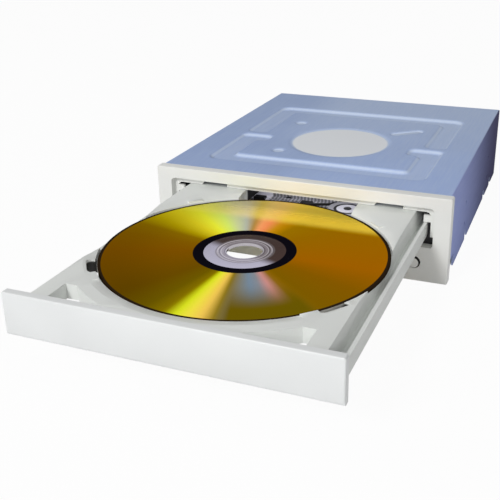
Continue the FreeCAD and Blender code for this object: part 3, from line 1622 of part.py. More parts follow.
def make_main_board():
    body = new_body("main_board")
    half = board_half
    pad(body, "top", s.board_low, board_top, box(-half, half, s.board_front, board_rear, s.lip_round))
    cut(body, "top", s.board_low - OVER, board_top + OVER,
        *[circle(x, pan_screw_rear, s.pan_screw_radius + s.cradle_gap)
          for x in (-pan_screw_x, pan_screw_x)])
    return body


def make_board_chips():
    """The flat packages and two round capacitors on the main board."""
    body = new_body("board_chips")
    for middle_x, middle_y, wide, deep in CHIPS:
        pad(body, "top", board_top, board_top + s.chip_thick,
            box(middle_x - wide / 2, middle_x + wide / 2, middle_y - deep / 2, middle_y + deep / 2))
    pad(body, "top", board_top, board_top + s.capacitor_height,
        *[circle(x, pan_screw_rear, s.capacitor_radius) for x in CAPACITORS])
    return body


def connector(name, middle_x, width, height, depth, corner):
    """A socket block that ends at the rear face and is hollowed from there, corners bevelled."""
    body = new_body(name)
    back = rear_face - s.socket_sink
    left = middle_x - width / 2
    right = middle_x + width / 2
    low = board_top
    pad(body, "front", back - depth, back, box(left, right, low, low + height))
    wall = s.tray_wall
    inner_left = left + wall
    inner_right = right - wall
    roof = low + height - wall
    cut(body, "front", back - depth + wall, back + OVER,
        polygon([(inner_left, low + wall), (inner_right, low + wall), (inner_right, roof - corner),
                 (inner_right - corner, roof), (inner_left + corner, roof), (inner_left, roof - corner)]))
    return body


def square_pins(body, middle_x, middle_z, columns, near, far):
    """Two rows of square pins, the first column drawn and the rest repeated."""
    first = middle_x - s.pin_pitch * (columns - 1) / 2
    half = s.pin_side / 2
    rise = s.pin_pitch / 2
    pins = pad(body, "front", near, far,
               *[box(first - half, first + half, middle_z + side * rise - half,
                     middle_z + side * rise + half)
                 for side in (-1, 1)])
    in_line(body, [pins], "X", s.pin_pitch, columns)


def make_ide_connector():
    body = connector("ide_connector", s.data_socket_x, s.data_socket_width, s.data_socket_height,
                     s.data_socket_depth, s.guide_gap)
    back = rear_face - s.socket_sink
    key = s.pin_pitch
    cut(body, "front", back - s.data_socket_depth + s.tray_wall, back + OVER,
        box(s.data_socket_x - key, s.data_socket_x + key,
            board_top + s.data_socket_height - s.tray_wall * 2,
            board_top + s.data_socket_height + OVER))
    square_pins(body, s.data_socket_x, board_top + s.data_socket_height / 2, s.data_pins,
                back - s.data_socket_depth + OVER / 2, back - s.tray_wall)
    return body


def make_power_connector():
    body = connector("power_connector", power_socket_x, s.power_socket_width,
                     s.power_socket_height, s.power_socket_depth, s.lip_round)
    back = rear_face - s.socket_sink
    first = power_socket_x - s.power_pin_pitch * (s.power_pins - 1) / 2
    pin = pad(body, "front", back - s.power_socket_depth + OVER / 2, back - s.tray_wall,
              circle(first, board_top + s.power_socket_height / 2, s.power_pin_radius))
    in_line(body, [pin], "X", s.power_pin_pitch, s.power_pins)
    return body


def make_audio_connector():
    body = connector("audio_connector", sound_socket_x, s.sound_socket_width, s.sound_socket_height,
                     s.data_socket_depth, s.guide_gap)
    back = rear_face - s.socket_sink
    first = sound_socket_x - s.pin_pitch * (s.sound_pins - 1) / 2
    half = s.pin_side / 2
    middle_z = board_top + s.sound_socket_height / 2
    pin = pad(body, "front", back - s.data_socket_depth + OVER / 2, back - s.tray_wall,
              box(first - half, first + half, middle_z - half, middle_z + half))
    in_line(body, [pin], "X", s.pin_pitch, s.sound_pins)
    return body


def make_jumper_block():
    body = new_body("jumper_block")
    back = rear_face - s.socket_sink
    half = s.pin_pitch * s.jumper_columns / 2
    pad(body, "front", back - s.data_socket_depth, back - s.data_socket_depth + s.pin_pitch,
        box(jumper_x - half, jumper_x + half, board_top, board_top + s.pin_pitch * 2))
    square_pins(body, jumper_x, board_top + s.pin_pitch, s.jumper_columns,
                back - s.data_socket_depth + OVER / 2, back - s.tray_wall)
    return body


PIECES = [
    make_top_cover, make_bottom_pan, make_pan_screws, make_front_bezel, make_led_lens,
    make_eject_button, make_eject_switch, make_status_led, make_front_board, make_tray_front,
    make_disc_tray, make_disc, make_tray_gear, make_pulley_gear, make_motor_pulley,
    make_loading_motor, make_drive_belt, make_cam_slider, make_left_rail, make_right_rail,
    make_gear_deck, make_rear_beam, make_clamp_bridge,
    make_clamp_puck, make_clamp_plate, make_traverse_frame, make_pivot_dampers,
    make_spindle_motor, make_turntable, make_friction_pad, make_guide_rods, make_sled_motor,
    make_lead_screw, make_optical_pickup, make_objective_lens, make_main_board,
    make_board_chips, make_ide_connector, make_power_connector, make_audio_connector,
    make_jumper_block,
]


def volume_left(feature):
    return feature.BaseFeature.Shape.Volume - feature.Shape.Volume


def check(body):
    """Stops the build where a sub-part is empty or unsound or a cut took nothing away."""
    if body.Shape.isNull() or not body.Shape.isValid():
        raise RuntimeError(f"{body.Label} has no sound solid")
    for feature in body.Group:
        if feature.TypeId in ("PartDesign::Pocket", "PartDesign::Groove") and volume_left(feature) <= 0:
            raise RuntimeError(f"{feature.Name} removes nothing")


bodies = [make() for make in PIECES]
doc.recompute()
broken = [thing.Name for thing in doc.Objects if {"Invalid", "Error"} & set(thing.State)]
if broken:
    raise RuntimeError("not built: " + ", ".join(broken))
for body in bodies:
    check(body)

os.makedirs("parts", exist_ok=True)
for body in bodies:
    body.Shape.exportStep(f"parts/{body.Label}.step")
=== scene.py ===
"""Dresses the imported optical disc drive: casing, bezel, tray, disc, gear train and a studio stage."""

import math

import bmesh
import bpy
import numpy as np
from bpy.props import FloatProperty, FloatVectorProperty, PointerProperty
from bpy.types import Operator, Panel, PropertyGroup
from mathutils import Matrix, Vector


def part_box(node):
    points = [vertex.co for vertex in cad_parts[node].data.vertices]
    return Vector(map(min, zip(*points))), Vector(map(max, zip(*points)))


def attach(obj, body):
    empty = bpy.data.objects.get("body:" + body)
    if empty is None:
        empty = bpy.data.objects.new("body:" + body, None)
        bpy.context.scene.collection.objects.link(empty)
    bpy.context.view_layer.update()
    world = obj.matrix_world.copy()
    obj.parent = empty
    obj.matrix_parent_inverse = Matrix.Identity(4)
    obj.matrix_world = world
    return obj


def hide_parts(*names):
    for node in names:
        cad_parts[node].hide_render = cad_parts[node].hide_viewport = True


bl_info = {
    "name": "Optical Disc Drive",
    "version": (1, 0, 0),
    "blender": (4, 5, 0),
    "location": "View3D > Sidebar > Disc Drive",
    "description": "Dresses a half-height disc drive with its tray open",
    "category": "Object",
}

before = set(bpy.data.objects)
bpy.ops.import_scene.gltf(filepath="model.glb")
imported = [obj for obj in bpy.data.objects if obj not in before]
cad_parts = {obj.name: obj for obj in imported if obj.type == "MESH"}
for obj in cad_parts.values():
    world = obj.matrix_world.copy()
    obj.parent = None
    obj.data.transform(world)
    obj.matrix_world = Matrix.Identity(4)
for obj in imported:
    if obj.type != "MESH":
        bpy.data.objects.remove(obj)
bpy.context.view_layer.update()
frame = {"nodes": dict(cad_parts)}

MM = 0.001
BEZEL_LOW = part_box("front_bezel")[0]
FRONT = BEZEL_LOW.y / MM
COVER_LOW, COVER_HIGH = (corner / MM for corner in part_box("top_cover"))
DISC_LOW, DISC_HIGH = (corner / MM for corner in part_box("disc"))
DISC_CENTRE = ((DISC_LOW.x + DISC_HIGH.x) / 2, (DISC_LOW.y + DISC_HIGH.y) / 2)
MARK_BACK = 71.0  # round mark's centre behind the bezel's face, in millimetres
PULLEY_AXIS = (19.0, -67.925)
CAMERA_PLACE = Vector((124.9, FRONT - 336.7, 167.1)) * MM


def colour(name, description, value):
    return FloatVectorProperty(name=name, description=description, subtype="COLOR",
                               size=3, min=0.0, max=1.0, default=value)


def length(name, description, value):
    return FloatProperty(name=name, description=description, default=value,
                         unit="LENGTH", min=0.0, precision=5)


def rotation(name, description, degrees):
    return FloatProperty(name=name, description=description, default=math.radians(degrees),
                         subtype="ANGLE", unit="ROTATION")


def power(name, description, watts):
    return FloatProperty(name=name, description=description, default=watts, unit="POWER")


class DriveCasing(PropertyGroup):
    """Sizes and colours of the sheet-metal casing."""

    channel_depth: length("Channel depth", "How deep the U channels are pressed", 1.6 * MM)
    channel_slope: length("Channel slope", "Width of a channel's sloping side", 3.1 * MM)
    sheet: colour("Lid", "Zinc-plated lid seen from above", (0.44, 0.555, 0.84))
    # Painted sheen: the lid's colour near the connectors, paler and lighter than at the front.
    sheet_rear_sheen: colour("Lid, far end", "Zinc-plated sheet near the connectors", (0.56, 0.67, 0.90))
    wall: colour("Walls", "Zinc-plated walls near the bezel", (0.46, 0.53, 0.92))
    # Painted shade: the walls near the connectors are painted near black-blue.
    wall_rear_shade: colour("Walls at the rear", "Zinc-plated walls near the connectors", (0.11, 0.105, 0.20))
    # The round recess's pale tone is a painted reflection; the recess is also rougher and less metallic.
    mark: colour("Round mark", "Pale coating of the round recess", (0.93, 0.96, 1.0))


class DriveFront(PropertyGroup):
    """Sizes and colours of the moulded front and the tray."""

    edge: length("Edge radius", "Rounding of moulded edges", 0.3 * MM)
    bezel: colour("Bezel", "Ivory plastic of the bezel", (0.84, 0.845, 0.82))
    panel: colour("Tray panel", "Near-white plastic of the tray's front", (0.81, 0.825, 0.825))
    tray: colour("Tray", "Light grey plastic of the tray", (0.83, 0.85, 0.825))


class DriveDisc(PropertyGroup):
    """Sizes and colours of the disc."""

    ring_inner: length("Black ring, inside", "Inner radius of the black ring", 17.1 * MM)
    ring_outer: length("Black ring, outside", "Outer radius of the black ring", 21.5 * MM)
    mirror_outer: length("Mirror, outside", "Outer radius of the mirror layer", 58.6 * MM)
    # Painted reflection: the clear hub is painted lilac on its near side and brown on its far side.
    hub: colour("Hub", "Clear hub's lilac side", (0.50, 0.48, 0.60))
    hub_dark_reflection: colour("Hub, far side", "Clear hub's brown side", (0.07, 0.045, 0.04))


class DriveInside(PropertyGroup):
    """Colours of the parts inside."""

    gear: colour("Gears", "Slick pale plastic of the gears", (0.93, 0.91, 1.0))
    frame: colour("Frame", "Black plastic of the inner frame", (0.012, 0.012, 0.014))
    board: colour("Boards", "Green lacquer of the boards", (0.01, 0.07, 0.025))
    steel: colour("Steel", "Bright steel of cans, rods and screws", (0.45, 0.45, 0.47))


class DriveStage(PropertyGroup):
    """Camera and light of the studio."""

    azimuth: rotation("Azimuth", "Camera's turn from the front to the right", 21.971)
    elevation: rotation("Elevation", "Camera's height above the horizon", 22.462)
    roll: rotation("Roll", "Camera's turn about its own axis", -0.834)
    lens: FloatProperty(name="Lens", description="Focal length in millimetres", default=57.87,
                        unit="CAMERA")
    floor: colour("Floor", "Pale studio floor", (0.9, 0.9, 0.9))
    key: power("Key light", "Power of the lamp at the upper left", 9.0)
    fill: power("Fill light", "Power of the lamp beyond the camera", 1.0)
    loader: power("Loader light", "Power of the small lamp under the lid, over the gears", 0.007)
    spot: power("Spot light", "Power of the lamp that looks into the opening", 9.0)
    world: FloatProperty(name="Surroundings", description="Strength of the even light all round",
                         default=0.32, subtype="FACTOR")


# ---- materials --------------------------------------------------------------------------


# Noise of moulded plastic: scale of its texture; scale, detail, spread and shades of its clouds.
MOULD_GRAIN = 2600.0
MOULD_CLOUDS = (22.0, 2.0, (0.35, 0.65), (0.975, 1.02))

# Waves in radians per metre: bands of the cam slider every 1.9 mm, rings of the disc every 0.7 mm.
SLIDER_WAVES = 3300.0
DISC_WAVES = 9000.0


def shade(rgb, factor):
    return tuple(min(1.0, part * factor) for part in rgb)


def grey(level):
    return (level, level, level)


class Paint:
    """Builds one material's nodes; every pattern is worked out from the object's own coordinates."""

    def __init__(self, name):
        self.material = bpy.data.materials.new(name)
        self.material.use_nodes = True
        self.tree = self.material.node_tree
        self.tree.nodes.clear()
        self.output = self.add("OutputMaterial")
        self.place = self.add("TexCoord").outputs["Object"]

    def add(self, kind, values=None, **settings):
        """Adds a node of that kind; values go to its sockets, which a link joins where one is given."""
        node = self.tree.nodes.new("ShaderNode" + kind)
        for key, value in settings.items():
            setattr(node, key, value)
        for key, value in (values or {}).items():
            self.give(node.inputs[key], value)
        return node

    def give(self, socket, value):
        if isinstance(value, bpy.types.NodeSocket):
            self.tree.links.new(value, socket)
        elif socket.type == "RGBA" and len(value) == 3:
            socket.default_value = (*value, 1.0)
        else:
            socket.default_value = value

    def sum(self, kind, first, second=0.0):
        """One step of arithmetic on numbers or links."""
        return self.add("Math", {0: first, 1: second}, operation=kind).outputs[0]

    def product(self, first, *others):
        """All the numbers or links multiplied."""
        for value in others:
            first = self.sum("MULTIPLY", first, value)
        return first

    def scaled(self, value, factor, offset):
        """value * factor + offset."""
        return self.sum("ADD", self.product(value, factor), offset)

    def axes(self, vector=None):
        return self.add("SeparateXYZ", {"Vector": vector or self.place}).outputs

    def around(self, centre):
        """x, y and the distance sqrt(x^2 + y^2) from an upright axis at a centre in millimetres."""
        moved = self.add("Mapping", {"Vector": self.place,
                                     "Location": (-centre[0] * MM, -centre[1] * MM, 0.0)})
        x, y, _ = self.axes(moved.outputs["Vector"])
        squares = self.sum("ADD", self.sum("POWER", x, 2.0), self.sum("POWER", y, 2.0))
        return x, y, self.sum("SQRT", squares)

    def noise(self, scale, detail=3.0, vector=None, rough=0.5):
        node = self.add("TexNoise", {"Vector": vector or self.place, "Scale": scale,
                                     "Detail": detail, "Roughness": rough})
        return node.outputs["Fac"]

    def stretched(self, scale, factors):
        """Noise drawn out along the axes with small factors, as brushed or rolled metal has it."""
        mapped = self.add("Mapping", {"Vector": self.place, "Scale": factors}).outputs["Vector"]
        return self.noise(scale, 4.0, mapped, 0.6)

    def ramp(self, value, stops):
        """A colour for each stop of a number from 0 to 1."""
        node = self.add("ValToRGB", {"Fac": value})
        elements = node.color_ramp.elements
        while len(elements) < len(stops):
            elements.new(0.5)
        for element, (at, tone) in zip(elements, stops):
            element.position = at
            element.color = (*tone, 1.0)
        return node.outputs["Color"]

    def between(self, value, low, high, start=0.0, end=1.0):
        """Maps low..high onto start..end with soft ends, and holds the ends beyond."""
        node = self.add("MapRange", {"Value": value, "From Min": low, "From Max": high,
                                     "To Min": start, "To Max": end},
                        interpolation_type="SMOOTHSTEP")
        return node.outputs["Result"]

    def fade(self, length, low, high):
        """0 at low and 1 at high, both in millimetres, for a coordinate or distance of the object."""
        return self.between(length, low * MM, high * MM)

    def mix(self, share, first, second, blend="MIX"):
        node = self.add("Mix", data_type="RGBA", blend_type=blend)
        self.give(node.inputs[0], share)
        self.give(node.inputs[6], first)
        self.give(node.inputs[7], second)
        return node.outputs[2]

    def clouded(self, base, scale, detail, spread, shades):
        """A colour in soft clouds, between a darker and a lighter shade of it."""
        cloud = self.between(self.noise(scale, detail), *spread)
        return self.mix(cloud, *(shade(base, factor) for factor in shades))

    def bump(self, height, distance, strength):
        return self.add("Bump", {"Height": height, "Distance": distance * MM,
                                 "Strength": strength}).outputs["Normal"]

    def finish(self, **values):
        """Ends in one Principled shader, whose sockets take plain values or links."""
        sockets = {key.replace("_", " "): value for key, value in values.items()}
        shader = self.add("BsdfPrincipled", sockets)
        self.tree.links.new(shader.outputs[0], self.output.inputs["Surface"])
        return self.material


def zinc_lid(look):
    """Rolled zinc-plated sheet, bluish on top, with painted light: a painted sheen towards the rear,
    painted shade towards the left, painted highlights on the channel slopes, walls in painted shade that
    darkens towards the rear, and a round recess painted pale as a reflection.
    """
    paint = Paint("zinc_lid")
    x, y, z = paint.axes()
    grain = paint.stretched(900.0, (1.0, 0.06, 1.0))
    rear = paint.fade(y, COVER_LOW.y, COVER_HIGH.y)
    tint = paint.clouded(look.sheet, 14.0, 3.0, (0.3, 0.7), (0.93, 1.07))
    # Painted sheen: the top turns paler and lighter towards the rear.
    tint = paint.mix(rear, tint, look.sheet_rear_sheen)
    # Painted shade: the top is painted darker towards the left.
    left = paint.product(paint.fade(x, -20.0, -50.0), 0.7)
    tint = paint.mix(left, tint, shade(look.sheet, 0.97))
    # Painted highlight: the channel slopes are painted pale blue, the channel floors more faintly.
    slope = paint.fade(z, COVER_HIGH.z - 0.15, COVER_HIGH.z - 0.6)
    floor = paint.fade(z, COVER_HIGH.z - 1.0, COVER_HIGH.z - 1.4)
    pressed = paint.sum("SUBTRACT", paint.product(slope, 0.6), paint.product(floor, 0.38))
    tint = paint.mix(pressed, tint, (0.74, 0.84, 1.0))
    # Painted shade: the walls darken from their front colour to near black-blue towards the rear.
    outside = paint.fade(paint.sum("ABSOLUTE", x), COVER_HIGH.x - 0.8, COVER_HIGH.x - 0.1)
    tint = paint.mix(outside, tint, paint.mix(rear, look.wall, look.wall_rear_shade))
    radius = paint.around((0.0, FRONT + MARK_BACK))[2]
    uneven = paint.sum("ADD", radius, paint.product(paint.noise(300.0), 0.6 * MM))
    # Painted reflection: the round recess is painted pale, and made rougher and less metallic.
    mark = paint.product(paint.fade(uneven, 26.8, 25.6), paint.fade(z, 39.5, 40.2))
    tint = paint.mix(mark, tint, look.mark)
    lines = paint.ramp(grain, [(0.3, grey(0.1)), (0.7, grey(1.0))])
    tint = paint.mix(0.06, tint, lines, "OVERLAY")
    rough = paint.sum("ADD", paint.scaled(grain, 0.1, 0.33), paint.product(mark, 0.25))
    metal = paint.sum("SUBTRACT", 0.15, paint.product(mark, 0.15))
    return paint.finish(Base_Color=tint, Metallic=metal, Roughness=rough, Specular_IOR_Level=0.0,
                        Specular_Tint=(0.15, 0.16, 0.2), Normal=paint.bump(grain, 0.01, 0.35))


def zinc_plain(name, base):
    """Plain plated sheet with a rolled grain and faint clouds."""
    paint = Paint(name)
    grain = paint.stretched(700.0, (1.0, 0.08, 1.0))
    tint = paint.clouded(base, 30.0, 3.0, (0.3, 0.7), (0.86, 1.08))
    return paint.finish(Base_Color=tint, Metallic=0.85, Roughness=paint.scaled(grain, 0.2, 0.28),
                        Normal=paint.bump(grain, 0.02, 0.6))


def textured(paint, tint, roughness, coat=0.0, shine=0.4):
    """Ends a paint in moulded plastic: a fine eroded texture, duller in its pits."""
    grain = paint.noise(MOULD_GRAIN, 2.0)
    return paint.finish(Base_Color=tint, Roughness=paint.scaled(grain, 0.12, roughness - 0.06),
                        Coat_Weight=coat, Coat_Roughness=0.15, Specular_IOR_Level=shine,
                        Normal=paint.bump(grain, 0.012, 0.8))


def moulded(name, base, roughness=0.42, coat=0.0, shine=0.4):
    """Moulded plastic with slight clouding of its colour."""
    paint = Paint(name)
    return textured(paint, paint.clouded(base, *MOULD_CLOUDS), roughness, coat, shine)


def tray_plastic(look):
    """Tray's moulding, with painted light: a painted highlight on the tabs over the disc, painted shade in
    the slots beside the front tabs, and near-black painted shade on its lower middle part behind the
    bezel's face.
    """
    paint = Paint("tray_plastic")
    x, y, z = paint.axes()
    side = paint.sum("ABSOLUTE", x)
    _, ahead, radius = paint.around(DISC_CENTRE)
    tint = paint.clouded(look.tray, *MOULD_CLOUDS)
    # Painted highlight: the tops of the tabs over the disc are painted lighter.
    tabs = paint.product(paint.fade(radius, 61.2, 60.4), paint.fade(z, 31.3, 31.5))
    tint = paint.mix(tabs, tint, shade(look.tray, 1.16))
    # Painted shade: the deep slots beside the front tabs are painted near black.
    slots = paint.product(paint.fade(side, 50.8, 52.0), paint.fade(side, 56.8, 56.2),
                          paint.fade(ahead, -36.2, -35.0), paint.fade(ahead, -27.0, -28.2),
                          paint.fade(z, 31.8, 30.9))
    tint = paint.mix(slots, tint, (0.02, 0.02, 0.018))
    # Painted shade: the tray's middle part behind the bezel's face, below 32.2 mm, is painted near black.
    rear = paint.product(paint.fade(side, 28.5, 27.5), paint.fade(y, -87.5, -86.2),
                         paint.fade(z, 32.5, 32.2))
    return textured(paint, paint.mix(rear, tint, grey(0.004)), 0.5)


def slick(paint, tint):
    """Ends a paint in slick plastic under a thin gloss."""
    return paint.finish(Base_Color=tint, Roughness=0.25, Coat_Weight=0.3, Coat_Roughness=0.15,
                        Specular_IOR_Level=0.4)


def wheel_plastic(look):
    """Slick plastic of the pulley gear, with a dark ring round its axis."""
    paint = Paint("wheel_plastic")
    ring, rim = (0.01, 0.01, 0.012), shade(look.gear, 0.45)
    share = paint.product(paint.around(PULLEY_AXIS)[2], 1.0 / (20.0 * MM))
    return slick(paint, paint.ramp(share, [(0.0, look.gear), (0.27, look.gear), (0.29, ring),
                                           (0.34, ring), (0.36, rim), (1.0, rim)]))


def slider_plastic(look):
    """Slick plastic of the cam slider, banded across in painted shade and light of its ribs and grooves,
    and plain at its left end.
    """
    paint = Paint("slider_plastic")
    x = paint.axes()[0]
    # Painted shade and light: dark bands across the slider every 1.9 mm, in step with its ribs and grooves.
    wave = paint.sum("SINE", paint.product(x, SLIDER_WAVES))
    uneven = paint.sum("ADD", paint.product(wave, 0.5), paint.noise(260.0, 2.0))
    tint = paint.mix(paint.between(uneven, 0.35, 0.9), shade(look.gear, 0.26), shade(look.gear, 0.58))
    return slick(paint, paint.mix(paint.fade(x, -25.8, -26.6), tint, look.gear))


def button_plastic(base):
    """Ivory cap; a little way behind its face the colour turns near black, painted shade in the gap round
    the button.
    """
    paint = Paint("button_plastic")
    # Painted shade: behind the cap the button is painted near black, to darken the gap round it.
    behind = paint.fade(paint.axes()[1], FRONT - 1.05, FRONT - 0.75)
    grain = paint.noise(MOULD_GRAIN, 2.0)
    return paint.finish(Base_Color=paint.mix(behind, shade(base, 1.03), grey(0.008)), Roughness=0.4,
                        Specular_IOR_Level=0.3, Normal=paint.bump(grain, 0.01, 0.6))


def turned_steel(name, base):
    """Turned or drawn metal with fine rings across its length."""
    paint = Paint(name)
    grain = paint.stretched(1500.0, (0.15, 0.15, 1.0))
    return paint.finish(Base_Color=paint.mix(grain, shade(base, 0.82), shade(base, 1.12)), Metallic=0.9,
                        Roughness=paint.scaled(grain, 0.15, 0.25), Normal=paint.bump(grain, 0.01, 0.5))


def lacquered_board(look):
    """Green board lacquer over fine copper tracks that run along and across."""
    paint = Paint("board_lacquer")
    cells = paint.add("TexVoronoi", {"Vector": paint.place, "Scale": 260.0, "Randomness": 0.9},
                      distance="MANHATTAN").outputs["Distance"]
    track = paint.between(cells, 0.32, 0.36)
    tint = paint.mix(track, look.board, shade(look.board, 2.2))
    pads = paint.add("TexVoronoi", {"Vector": paint.place, "Scale": 420.0}).outputs["Distance"]
    tint = paint.mix(paint.between(pads, 0.14, 0.1), tint, (0.3, 0.3, 0.28))
    return paint.finish(Base_Color=tint, Roughness=0.32, Coat_Weight=0.4, Coat_Roughness=0.1,
                        Normal=paint.bump(track, 0.03, 0.5))


def clear_plastic(name, base, cover=0.45):
    """Clear plastic that lets part of what lies behind it show, faintly clouded."""
    paint = Paint(name)
    cloud = paint.noise(160.0)
    tint = paint.mix(cloud, shade(base, 0.92), shade(base, 1.06))
    return paint.finish(Base_Color=tint, Roughness=0.12, Transmission_Weight=1.0 - cover, IOR=1.49,
                        Normal=paint.bump(cloud, 0.01, 0.3))


def share_of_turn(degrees):
    """Place of an angle on a scale from 0 at -180 degrees to 1 at 180 degrees."""
    return (degrees + 180.0) / 360.0


def mirror_layer(look):
    """The recordable layer: gold that turns amber to the right under painted reflection, with painted
    streaks of spectrum along radii, a painted bright band towards the rear and painted shade to the left.
    """
    paint = Paint("mirror_layer")
    x, y, radius = paint.around(DISC_CENTRE)
    turn = paint.scaled(paint.sum("ARCTAN2", y, x), 0.5 / math.pi, 0.5)
    tint = paint.ramp(turn, [(share_of_turn(degrees), tone) for degrees, tone in DISC_FAN])
    # Painted reflection: a brighter gold band towards the disc's rear.
    tint = paint.mix(paint.fade(y, 31.0, 39.0), tint, (0.72, 0.54, 0.07), "SCREEN")
    # Painted reflection: the sector from -77 to -38 degrees darkens towards the rim.
    streak = paint.product(paint.between(turn, share_of_turn(-77.0), share_of_turn(-72.0)),
                           paint.between(turn, share_of_turn(-38.0), share_of_turn(-44.0)),
                           paint.fade(radius, 30.0, 52.0))
    tint = paint.mix(streak, tint, (0.125, 0.092, 0.008))
    # Painted shade: the disc is painted darker towards its left rim.
    left = paint.product(paint.fade(x, -5.0, -30.0), paint.fade(radius, 24.0, 56.0), 0.3)
    tint = paint.mix(left, tint, grey(0.1), "MULTIPLY")
    rings = paint.sum("SINE", paint.product(radius, DISC_WAVES))
    tint = paint.mix(0.03, tint, paint.ramp(rings, [(0.0, grey(0.2)), (1.0, grey(1.0))]), "OVERLAY")
    # Less metal towards the rear rim, so the lamps light the painted reflection band brighter there.
    metal = paint.between(y, 40.0 * MM, 50.0 * MM, 1.0, 0.4)
    return paint.finish(Base_Color=tint, Metallic=metal, Roughness=0.18, Specular_IOR_Level=0.0,
                        Specular_Tint=(0.78, 0.62, 0.42), Normal=paint.bump(rings, 0.002, 0.15))


def clear_hub(look):
    """Clear hub in painted reflection: lilac on one side and brown on the other, with moulded rings near
    the hole painted bright and dark as highlight and shade.
    """
    paint = Paint("disc_hub")
    x, y, radius = paint.around(DISC_CENTRE)
    across = paint.sum("ADD", paint.product(x, 0.35), y)
    # Painted reflection: lilac towards the lower left, brown towards the upper right.
    tint = paint.mix(paint.fade(across, -6.0, 1.0), look.hub, look.hub_dark_reflection)
    tint = paint.mix(paint.fade(radius, 17.1, 17.4), tint, (0.55, 0.45, 0.47))
    lines = paint.ramp(paint.product(radius, 1.0 / (18.0 * MM)), HUB_RINGS)
    near = paint.product(paint.fade(radius, 12.8, 11.8), 0.6)
    return paint.finish(Base_Color=paint.mix(near, tint, lines), Metallic=0.9, Roughness=0.14,
                        Specular_IOR_Level=0.1, Specular_Tint=grey(0.45))


def clear_rim():
    """Clear rim, painted opaque: dark from above as painted shade of the gap seen through it, pale at its
    side beside the front tabs, where the tray shows through.
    """
    paint = Paint("disc_rim")
    z = paint.axes()[2]
    x, y, _ = paint.around(DISC_CENTRE)
    side = paint.product(paint.fade(paint.sum("ABSOLUTE", x), 44.5, 45.2), paint.fade(y, -26.5, -28.5),
                         paint.fade(z, 31.2, 31.05))
    # Painted shade: the rim is near black from above; its pale side stands for the tray seen through it.
    tint = paint.mix(side, (0.03, 0.018, 0.009), (0.52, 0.51, 0.47))
    return paint.finish(Base_Color=tint, Roughness=0.2, Specular_IOR_Level=0.0)


# Rings round the hub's hole, in painted highlight and painted shade: share of an 18 mm radius, and tone.
HUB_RINGS = [
    (0.40, (0.75, 0.72, 0.78)),
    (0.44, (0.75, 0.72, 0.78)),
    (0.455, (0.03, 0.02, 0.03)),
    (0.48, (0.4, 0.36, 0.4)),
    (0.53, (0.4, 0.36, 0.4)),
    (0.55, (0.8, 0.76, 0.8)),
    (0.575, (0.05, 0.04, 0.05)),
    (0.61, (0.5, 0.46, 0.5)),
    (0.635, (0.75, 0.7, 0.75)),
    (0.66, (0.1, 0.08, 0.1)),
    (0.7, grey(0.5)),
    (1.0, grey(0.5)),
]

# Mirror layer's tones as they fan out, gold under painted reflection and painted streaks of spectrum: angle
# in degrees from the disc's right, and tone.
DISC_FAN = [
    (-180.0, (0.19, 0.089, 0.002)),
    (-162.0, (0.18, 0.068, 0.002)),
    (-120.0, (0.12, 0.061, 0.002)),
    (-104.0, (0.13, 0.093, 0.004)),
    (-96.0, (0.22, 0.16, 0.006)),
    (-91.0, (0.73, 0.83, 0.026)),
    (-87.0, (0.90, 0.81, 0.070)),
    (-82.0, (0.92, 0.61, 0.11)),
    (-77.0, (0.22, 0.16, 0.016)),
    (-63.0, (0.16, 0.26, 0.38)),
    (-57.0, (0.22, 0.26, 0.33)),
    (-51.0, (0.61, 0.28, 0.28)),
    (-45.0, (0.26, 0.13, 0.019)),
    (-38.0, (0.19, 0.10, 0.004)),
    (-20.0, (0.22, 0.095, 0.002)),
    (0.0, (0.34, 0.11, 0.002)),
    (48.0, (0.29, 0.13, 0.003)),
    (70.0, (0.30, 0.16, 0.004)),
    (84.0, (0.61, 0.28, 0.021)),
    (93.0, (0.96, 0.30, 0.13)),
    (99.0, (0.96, 0.38, 0.17)),
    (105.0, (0.43, 0.26, 0.070)),
    (112.0, (0.45, 0.53, 0.49)),
    (120.0, (0.61, 0.73, 0.40)),
    (128.0, (0.70, 0.93, 0.19)),
    (138.0, (0.87, 0.96, 0.061)),
    (148.0, (0.75, 0.68, 0.032)),
    (168.0, (0.22, 0.13, 0.003)),
    (180.0, (0.19, 0.089, 0.002)),
]


# ---- mesh helpers -----------------------------------------------------------------------


def lay(name, points, faces, body, slot, *stands_for):
    """Makes a piece from whole arrays of points and four-cornered faces and puts it on a body."""
    mesh = bpy.data.meshes.new(name)
    mesh.vertices.add(len(points))
    mesh.vertices.foreach_set("co", np.asarray(points, float).ravel())
    mesh.loops.add(faces.size)
    mesh.loops.foreach_set("vertex_index", faces.ravel())
    mesh.polygons.add(len(faces))
    mesh.polygons.foreach_set("loop_start", np.arange(0, faces.size, faces.shape[1]))
    mesh.update(calc_edges=True)
    mesh.validate()
    return settle(name, mesh, body, slot, *stands_for)


def settle(name, mesh, body, slot, *stands_for):
    """Puts a mesh on a body in the place of the nodes it stands for; its slot is not used."""
    piece = bpy.data.objects.new(name, mesh)
    bpy.context.scene.collection.objects.link(piece)
    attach(piece, body)
    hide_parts(*stands_for)
    return piece


def quads(rows, columns, closed=False):
    """Corner numbers of the faces of a grid whose points run row by row; a closed one joins its ends."""
    i, j = np.meshgrid(np.arange(rows - (not closed)), np.arange(columns - (not closed)), indexing="ij")
    below, right = (i + 1) % rows, (j + 1) % columns
    corners = [i * columns + j, i * columns + right, below * columns + right, below * columns + j]
    return np.stack(corners, axis=-1).reshape(-1, 4)


